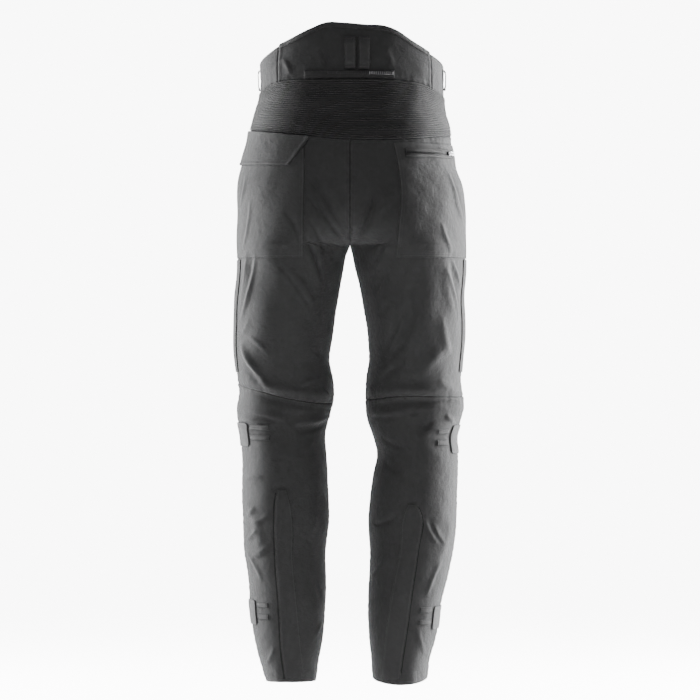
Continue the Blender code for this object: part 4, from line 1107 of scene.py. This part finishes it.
# Calf zip tape, darker than the other zip tape as painted shadow under the placket edge
ZIP_IN_SHADOW = cloth_finish("zip_tape_in_painted_shadow", (0.0035, 0.0035, 0.0036), (0.00080, 0.00050), 0.75, 0.0, crumple=0.0002)
# Bright nickel for the connection teeth on the right: a painted highlight
TEETH = metal_finish("zip_teeth", (0.30, 0.30, 0.31), 0.34)
METAL = metal_finish("zip_metal", (0.42, 0.42, 0.43), 0.30)
DARK_TEETH = thread_finish("coil_teeth", (0.012, 0.012, 0.013))
THREAD = thread_finish("sewing_thread", (0.020, 0.020, 0.021))


def back_top(side):
    """Foot of the ribbed panel, as seen from one side: its angles start at that side's seam."""
    if side == LEFT:
        return RIB_FOOT
    return [(180 - angle, height) for angle, height in reversed(RIB_FOOT)]


# Long panels, with the curved row of stitches beside the fly
fronts, backs, calves = {}, {}, {}
for side in (LEFT, RIGHT):
    word = side_name(side)
    fronts[side] = LegPanel(side, FRONT, FRONT_FOOT[side], HEM_LINE[side], True,
                            {"start": "seam", "end": "seam", "top": "seam", "foot": "hem"})
    backs[side] = LegPanel(side, BACK, back_top(side), KNEE_SEAM[side], True,
                           {"start": "seam", "end": "lapped", "top": "lapped", "foot": "seam"})
    calves[side] = LegPanel(side, BACK, KNEE_SEAM[side], HEM_LINE[side], False,
                            {"start": "seam", "end": "seam", "top": "lapped", "foot": "hem"})
    fly_row = [("end", 32.0, 0.0, 0.16)] if side == LEFT else []
    sew(f"cloth_front_{word}", fronts[side], FRONT_STEP, SHELL_THICK, SHELL,
        [f"front_{word}"], extra=fly_row)
    sew(f"cloth_back_{word}", backs[side], BACK_STEP, SHELL_THICK, SHELL, [f"back_{word}"])
    sew(f"cloth_calf_{word}", calves[side], BACK_STEP, SHELL_THICK, SHELL, [f"calf_{word}"])
    band = FrontBand(side, {"start": "seam", "end": "seam", "top": "folded", "foot": "seam"})
    sew(f"cloth_waistband_{word}", band, 3.0, WAIST_THICK, SHELL, [f"waistband_front_{word}"])

# Waist
ribs = RibPanel(0, 180, RIB_TOP, RIB_FOOT, {"start": "seam", "end": "seam"})
sew("cloth_ribs", ribs, 4.0, 1.0, RIB, ["rib_panel"])
kidney = WaistPiece(*KIDNEY_ENDS, KIDNEY_TOP, RIB_TOP, {"start": "lapped", "end": "lapped", "foot": "lapped"})
bound = binding("binding_kidney", kidney, KIDNEY_THICK, 8.0, WEBBING)
sew("cloth_kidney", kidney, 2.0, KIDNEY_THICK, SOFT, ["kidney_panel"], trims=bound)
side_edges = {"start": "seam", "end": "seam", "top": "folded", "foot": "seam"}
side_left = WaistPiece(0, KIDNEY_ENDS[0], SIDE_TOP[LEFT], RIB_TOP, side_edges)
sew("cloth_waist_side_left", side_left, 2.6, WAIST_THICK, SHELL, ["waist_side_left"])
right_top = [(180 - angle, height) for angle, height in reversed(SIDE_TOP[RIGHT])]
side_right = WaistPiece(KIDNEY_ENDS[1], 180, right_top, RIB_TOP, side_edges)
sew("cloth_waist_side_right", side_right, 2.6, WAIST_THICK, SHELL, ["waist_side_right"])

# Pockets
for side in (LEFT, RIGHT):
    table = POCKETS[side]
    patch = Patch(backs[side], fixed(table[0][0]), fixed(table[-1][0]), fixed(math.radians(POCKET_OUTER_ANGLE)),
                  seen_edge(side, table, 1), PATCH_LIFT, PATCH, edges={"end": "twice", "foot": "twice", "start": "stitched"},
                  bulge=POCKET_BULGE[side])
    sew(f"cloth_pocket_{side_name(side)}", patch, 2.2, 0.8, POCKET, [f"pocket_{side_name(side)}"])


def flap_top(angle):
    """Height of the flap's sewn edge, just under the ribs."""
    return degrees_curve(RIB_FOOT, angle) - FLAP_UNDER_SEAM


def flap_foot(angle):
    """Height of the flap's free edge, lower towards the middle of its pocket."""
    return FLAP_FOOT - FLAP_DROP * np.sin(angle)


flap = Patch(backs[LEFT], flap_top, flap_foot, fixed(math.radians(FLAP_OUTER_ANGLE)),
             seen_edge(LEFT, FLAP_END, 1), FLAP_LIFT, FLAP, edges={"end": "rolled", "foot": "rolled"}, bulge=0.6)
sew("cloth_pocket_flap", flap, 1.8, 1.8, POCKET, ["pocket_flap"])

# Plackets: one on each outer thigh, one up each lower leg beside its zip, which is darkened as painted shadow, and the
# fly
for side, top, foot, outer, inner in THIGH_PLACKETS:
    word = side_name(side)
    strip = Patch(backs[side], fixed(top), fixed(foot), fixed(math.radians(outer)), fixed(math.radians(inner)),
                  PATCH_LIFT, BAND, edges={"start": "stitched", "end": "stitched"}, bulge=0.8)
    sew(f"cloth_thigh_placket_{word}", strip, 2.4, 0.8, SHELL, [f"thigh_placket_{word}"])
for side in (LEFT, RIGHT):
    word, table = side_name(side), CALF_PLACKETS[side]
    edges = {"start": "stitched", "end": "stitched", "top": "stitched"}
    placket = Patch(calves[side], fixed(table[0][0]), fixed(table[-1][0]), seen_edge(side, table, 1),
                    seen_edge(side, table, 2), PATCH_LIFT, BAND, edges=edges, bulge=PLACKET_BULGE[side])
    slit = [(height, outer + SLIT_WIDTH[side], outer - 1.0) for height, outer, inner in table]
    opening = Patch(calves[side], fixed(table[0][0] - 6.0), fixed(table[-1][0]), seen_edge(side, slit, 1),
                    seen_edge(side, slit, 2), 0.1, 0.5)
    # Strip of very dark tape in the slit: the zip under the placket, darkened as painted shadow
    zip_in_shadow_strip = narrow(f"calf_zip_{word}", opening, 2.4, 0.4, ZIP_IN_SHADOW)
    sew(f"cloth_calf_placket_{word}", placket, 2.0, 0.8, SHELL, [f"calf_placket_{word}"], trims=zip_in_shadow_strip)
fly = Patch(fronts[LEFT], fixed(FLY_TOP), fixed(FLY_FOOT), fixed(math.radians(FLY_ANGLES[0])),
            fixed(math.radians(FLY_ANGLES[1])), PATCH_LIFT, BAND, edges={"start": "twice", "foot": "stitched"})
sew("cloth_fly", fly, 2.4, 0.8, SHELL, ["fly_placket"])

# Hook tabs and their bands at knee and hem
for place, tabs, bands in (("knee", KNEE_TABS, KNEE_BANDS), ("hem", HEM_TABS, HEM_BANDS)):
    for side, top, foot, outer, inner in tabs:
        word = side_name(side)
        trims = []
        for band_side, level, high, low, start, stop in bands:
            if band_side == side:
                strip = Patch(calves[side], fixed(high), fixed(low), fixed(math.radians(start)),
                              fixed(math.radians(stop)), PATCH_LIFT, BAND, edges={"start": "stitched", "end": "stitched"})
                node = f"{place}_band_{word}_{level}"
                trims += narrow(f"{node}_tape", strip, 1.6, 0.8, WEBBING, [node])
        tab = Patch(calves[side], fixed(top), fixed(foot), fixed(math.radians(outer)), fixed(math.radians(inner)),
                    TAB_LIFT, TAB_THICK, corner=6.0, edges=dict.fromkeys(("start", "end", "top", "foot"), "stitched"))
        sew(f"cloth_{place}_tab_{word}", tab, 1.8, 1.2, TAB, [f"{place}_tab_{word}"], trims=trims)


class WaistPatch(WaistPiece):
    """Tape on the kidney panel between two level lines, with round rims."""

    close = (0.0, 0.3, 0.9, 1.8)

    def relief(self, across, down, distances):
        rim = np.minimum.reduce([distances[edge] for edge in ("start", "end", "top", "foot")])
        return PATCH_LIFT + CONNECTION_TAPE * np.sqrt(1 - (1 - np.clip(rim / 1.4, 0.0, 1.0)) ** 2)


def box_piece(name, centre, along, up, out, size, material, soft=0.35):
    """Row of small blocks with sloped sides, each from its centre, its three directions and its size."""
    long, tall, thick = (np.broadcast_to(np.asarray(value, float), len(centre))[:, None] for value in size)
    corners = []
    for level, shrink in ((0.0, 0.0), (0.65, 0.0), (1.0, soft)):
        for x, y in ((-1, -1), (1, -1), (1, 1), (-1, 1)):
            corners.append(centre + along * long * x * (0.5 - shrink / 2) + up * tall * y * (0.5 - shrink * 0.3)
                           + out * thick * level)
    points = np.stack(corners, axis=1)
    one = np.array([[0, 1, 5, 4], [1, 2, 6, 5], [2, 3, 7, 6], [3, 0, 4, 7], [4, 5, 9, 8], [5, 6, 10, 9],
                    [6, 7, 11, 10], [7, 4, 8, 11], [8, 9, 10, 11], [3, 2, 1, 0]])
    faces = (one[None] + 12 * np.arange(len(centre))[:, None, None]).reshape(-1, 4)
    piece = new_piece(name, points, faces, material)
    piece.data.shade_flat()
    return piece


# Connection zip: its tape, and one row of moulded teeth: the left run in dark coil colour as painted shade, the right
# run in bright nickel as a painted highlight
level = [(0, CONNECTION_TOP), (180, CONNECTION_TOP)], [(0, CONNECTION_FOOT), (180, CONNECTION_FOOT)]
tape = WaistPatch(*CONNECTION_ANGLES, *level, {"foot": "stitched", "top": "stitched"})


def tooth_row(cut, first, last, pitch, down):
    """Centres of teeth along a cut and their directions along, up and out."""
    count = int(cut.widths.mean() * (last - first) / pitch)
    across = first + (np.arange(count) + 0.5) / count * (last - first)
    centre, out = cut.surface(across, down)
    along = unit(cut.surface(across + 0.5 / count, down)[0] - centre)
    return centre, along, unit(np.cross(out, along)), out


teeth = []
# The teeth are all of one kind; their dark and bright runs are shaded and lit copies, painted light
for name, first, last, material in (("dark", 0.27, 0.71, DARK_TEETH), ("bright", 0.71, 0.985, TEETH)):
    centre, along, up, out = tooth_row(tape, first, last, TOOTH_PITCH, 0.36)
    size = (1.9, 5.2, 1.5) if name == "bright" else (1.9, 5.2, 1.1)
    teeth.append(box_piece(f"connection_teeth_{name}", centre - out * 0.2, along, up, out, size, material))
sew("cloth_connection_tape", tape, 2.0, 1.2, TAPE, ["connection_zip"], trims=teeth)


class ZipTape(Patch):
    """Tape of the pocket zip with a raised lip on both sides of its teeth."""

    def relief(self, across, down, distances):
        middle = np.abs(down - 0.5) * self.lengths.mean()
        lips = ZIP_GROOVE * (smooth((middle - 1.5) / 1.3) - 1.0) + ZIP_LIP * bell(middle - 4.2, 1.9)
        return super().relief(across, down, distances) + lips


zip_cut = ZipTape(backs[RIGHT], fixed(ZIP_TOP), fixed(ZIP_FOOT), fixed(math.radians(ZIP_ANGLES[0])),
                  fixed(math.radians(ZIP_ANGLES[1])), ZIP_LIFT, ZIP_TAPE,
                  edges={"start": "stitched", "end": "stitched", "top": "stitched", "foot": "stitched"})
coils = []
for name, shift, down in (("upper", 0.0, 0.455), ("lower", 0.5, 0.545)):
    start = 0.16 + shift * COIL_PITCH / zip_cut.widths.mean()
    centre, along, up, out = tooth_row(zip_cut, start, 0.98, COIL_PITCH, down)
    coils.append(box_piece(f"pocket_coil_{name}", centre - out * 0.1, along, up, out, (0.75, 1.7, 0.6),
                           DARK_TEETH))
sew("cloth_pocket_zip", zip_cut, 1.6, 0.8, TAPE, ["pocket_zip_tape"], trims=coils)
for node in ("pocket_slider", "pocket_pull"):
    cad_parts[node].data.materials.clear()
    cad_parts[node].data.materials.append(METAL)


def belt_loop(word, middle, top, foot, stand_off, side_word):
    """Webbing strap carried down an arched path, with a round-edged section and doubled, bar-tacked ends."""
    share = np.concatenate([np.linspace(0, 0.2, 12), np.linspace(0.2, 0.8, 18)[1:], np.linspace(0.8, 1.0, 12)[1:]])
    height = top + (foot - top) * share
    near_end = np.minimum(share, 1.0 - share)
    stand = PATCH_LIFT + LOOP_THICK / 2 + stand_off * smooth(near_end / LOOP_RAMP)
    turn = np.full(len(share), math.radians(middle))
    points, normals, folds = torso_form(turn, height)
    before = torso_form(turn - 0.01, height)[0]
    centre = points + normals * (folds + stand)[:, None]
    along = unit(points - before)
    down = unit(np.gradient(centre, axis=0))
    out = unit(np.cross(along, down))
    out *= np.sign((out * normals).sum(-1, keepdims=True))
    angle = 2 * math.pi * (np.arange(24) + 0.5) / 24
    x = np.sign(np.cos(angle)) * np.abs(np.cos(angle)) ** 0.35 * LOOP_WIDTH / 2
    y = np.sign(np.sin(angle)) * np.abs(np.sin(angle)) ** 0.8 * LOOP_THICK / 2
    doubled = 0.55 * smooth((0.15 - near_end) / 0.02)
    thick = y[None, :] * (1 + doubled[:, None]) + 0.18 * np.cos(2 * math.pi * x / LOOP_WIDTH)[None, :] * (y > 0)
    rings = centre[:, None] + along[:, None] * x[None, :, None] + out[:, None] * thick[..., None]
    run = np.cumsum(np.concatenate([[0.0], np.linalg.norm(np.diff(centre, axis=0), axis=-1)]))
    flat = np.stack(np.broadcast_arrays(x[None, :], run[:, None]), axis=-1) * MM
    faces = grid_faces(len(share), 24, closed=True)
    winding = np.sign((np.cross(rings[1, 0] - rings[0, 0], rings[0, 1] - rings[0, 0]) * along[0]).sum())
    faces = (faces if winding > 0 else faces[:, ::-1]).tolist()
    caps = [list(range(24)), list(range(24 * (len(share) - 1), 24 * len(share)))]
    faces += [caps[0] if winding > 0 else caps[0][::-1], caps[1][::-1] if winding > 0 else caps[1]]
    # Seam distance falls to 0 at the strap's long sides, so the finish paints shade along them
    seam = np.broadcast_to(LOOP_WIDTH / 2 - np.abs(x), rings.shape[:2]) * MM
    name = f"belt_loop_{side_word}_{word}"
    strap = new_piece(f"webbing_{name}", rings, faces, WEBBING, flat, seam)
    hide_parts(name)
    tacks = []
    for end in (0.075, 0.925):
        k = int(np.argmin(np.abs(share - end)))
        side_step = np.linspace(-0.42, 0.42, 22)[:, None] * LOOP_WIDTH * along[k]
        base = centre[k] + out[k] * (LOOP_THICK / 2 * (1 + doubled[k]) + 0.2)
        slant = down[k] * 1.6
        start = base + side_step - slant
        tacks.append((start, start + 2 * slant + 0.4 * along[k], np.broadcast_to(out[k], start.shape)))
    start, stop, normal = (np.concatenate([tack[i] for tack in tacks]) for i in range(3))
    tack_piece = thread_piece(f"bartack_{name}", start, stop, normal)


for word in ("left", "right"):
    belt_loop(word, BACK_LOOP_ANGLES[word], LOOP_TOP, LOOP_FOOT, BACK_LOOP_STAND, "back")
    belt_loop(word, SIDE_LOOP_ANGLES[word], SIDE_LOOP_TOP, SIDE_LOOP_FOOT, SIDE_LOOP_STAND, "side")

# Waist snap: a turned cap with a rolled rim and a shallow dish
SNAP_PROFILE = [(0.0, 1.5), (2.6, 1.55), (4.6, 1.75), (5.5, 2.2), (6.1, 2.4), (6.9, 2.2), (7.4, 1.6), (7.5, 0.9),
                (7.2, 0.2), (0.0, 0.0)]
radius, rise = column(SNAP_PROFILE, 0)[:, None], column(SNAP_PROFILE, 1)[:, None]
turn = 2 * math.pi * np.arange(48) / 48
place, out, fold = form(LEFT, [math.radians(SNAP_ANGLE)], [SNAP_AT_HEIGHT])
out = out[0]
aside = unit(np.cross((0.0, 0.0, 1.0), out))
upward = np.cross(out, aside)
centre = place[0] + out * (fold[0] + SNAP_LIFT)
cap = centre + aside * (radius * np.cos(turn))[..., None] + upward * (radius * np.sin(turn))[..., None]
cap = cap + out * np.broadcast_to(rise, (len(rise), 48))[..., None]
snap = new_piece("snap_cap", cap, grid_faces(len(rise), 48, closed=True), METAL)
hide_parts("waist_snap")

# Camera: 6 m behind the garment, level with the middle of the photographed frame
CAMERA_DISTANCE, CAMERA_HEIGHT, FRAME_WIDTH = 6.0, -0.468, 1.26
camera_data = bpy.data.cameras.new("camera")
camera_data.sensor_width = 36.0
camera_data.lens = 36.0 * CAMERA_DISTANCE / FRAME_WIDTH
camera = bpy.data.objects.new("camera", camera_data)
camera.location = (0.0, CAMERA_DISTANCE, CAMERA_HEIGHT)
camera.rotation_euler = (math.pi / 2, 0.0, math.pi)
bpy.context.scene.collection.objects.link(camera)
bpy.context.scene.camera = camera

# Pale floor that fades out a few metres away, and a white studio behind
FLOOR_HEIGHT, FLOOR_RADIUS = -1.15, 3.6
BACKGROUND_LIGHT, FILL_LIGHT = 9.0, 0.12
turn = 2 * math.pi * np.arange(96) / 96
reach = np.linspace(0.0, 1.0, 13)[:, None] * FLOOR_RADIUS
disc = np.stack([reach * np.cos(turn), reach * np.sin(turn), np.full((13, 96), FLOOR_HEIGHT)], axis=-1)
floor_mesh = bpy.data.meshes.new("floor")
floor_mesh.from_pydata(disc.reshape(-1, 3).tolist(), [], grid_faces(13, 96, closed=True).tolist())
floor = bpy.data.objects.new("floor", floor_mesh)
bpy.context.scene.collection.objects.link(floor)
floor_material, tree, shader = blank_material("pale_floor")
shader.inputs["Base Color"].default_value = (0.92, 0.92, 0.92, 1.0)
shader.inputs["Roughness"].default_value = 0.95
shader.inputs["Emission Color"].default_value = (1.0, 1.0, 1.0, 1.0)
place = tree.nodes.new("ShaderNodeTexCoord").outputs["Object"]
far = tree.nodes.new("ShaderNodeVectorMath")
far.operation = "LENGTH"
tree.links.new(place, far.inputs[0])
fade = tree.nodes.new("ShaderNodeMapRange")
fade.interpolation_type = "SMOOTHSTEP"
for socket, value in zip(("From Min", "From Max", "To Min", "To Max"), (1.3, FLOOR_RADIUS, 1.0, 0.0)):
    fade.inputs[socket].default_value = value
tree.links.new(far.outputs["Value"], fade.inputs["Value"])
tree.links.new(fade.outputs[0], shader.inputs["Alpha"])
seen = tree.nodes.new("ShaderNodeLightPath").outputs["Is Camera Ray"]
tree.links.new(calc(tree, "MULTIPLY", seen, BACKGROUND_LIGHT), shader.inputs["Emission Strength"])
floor_mesh.materials.append(floor_material)

world = bpy.data.worlds.new("studio")
world.use_nodes = True
sky = world.node_tree
seen = sky.nodes.new("ShaderNodeLightPath").outputs["Is Camera Ray"]
strength = calc(sky, "MULTIPLY_ADD", seen, BACKGROUND_LIGHT - FILL_LIGHT, FILL_LIGHT)
sky.nodes["Background"].inputs["Color"].default_value = (1.0, 1.0, 1.0, 1.0)
sky.links.new(strength, sky.nodes["Background"].inputs["Strength"])
bpy.context.scene.world = world


def area_light(name, place, target, size, power):
    """Rectangular soft light aimed at a point."""
    data = bpy.data.lights.new(name, "AREA")
    data.shape = "RECTANGLE"
    data.size, data.size_y = size
    data.energy = power
    lamp = bpy.data.objects.new(name, data)
    lamp.location = place
    direction = np.array(target) - np.array(place)
    yaw = math.atan2(direction[1], direction[0]) - QUARTER
    pitch = math.atan2(direction[2], math.hypot(direction[0], direction[1])) + QUARTER
    lamp.rotation_euler = (pitch, 0.0, yaw)
    bpy.context.scene.collection.objects.link(lamp)
    return lamp


# Two tall lights beside the garment, a little in front of it, light its sides; one above the camera its folds
area_light("side_left", (1.9, -0.75, -0.3), (0.15, 0.0, -0.5), (0.8, 2.4), 200)
area_light("side_right", (-1.9, -0.75, -0.3), (-0.15, 0.0, -0.5), (0.8, 2.4), 290)
area_light("above_camera", (0.5, 2.6, 2.3), (0.0, 0.0, -0.6), (0.9, 0.9), 62)
area_light("before_garment", (-0.6, -4.0, 1.6), (0.0, 0.0, -0.4), (2.0, 2.0), 45)
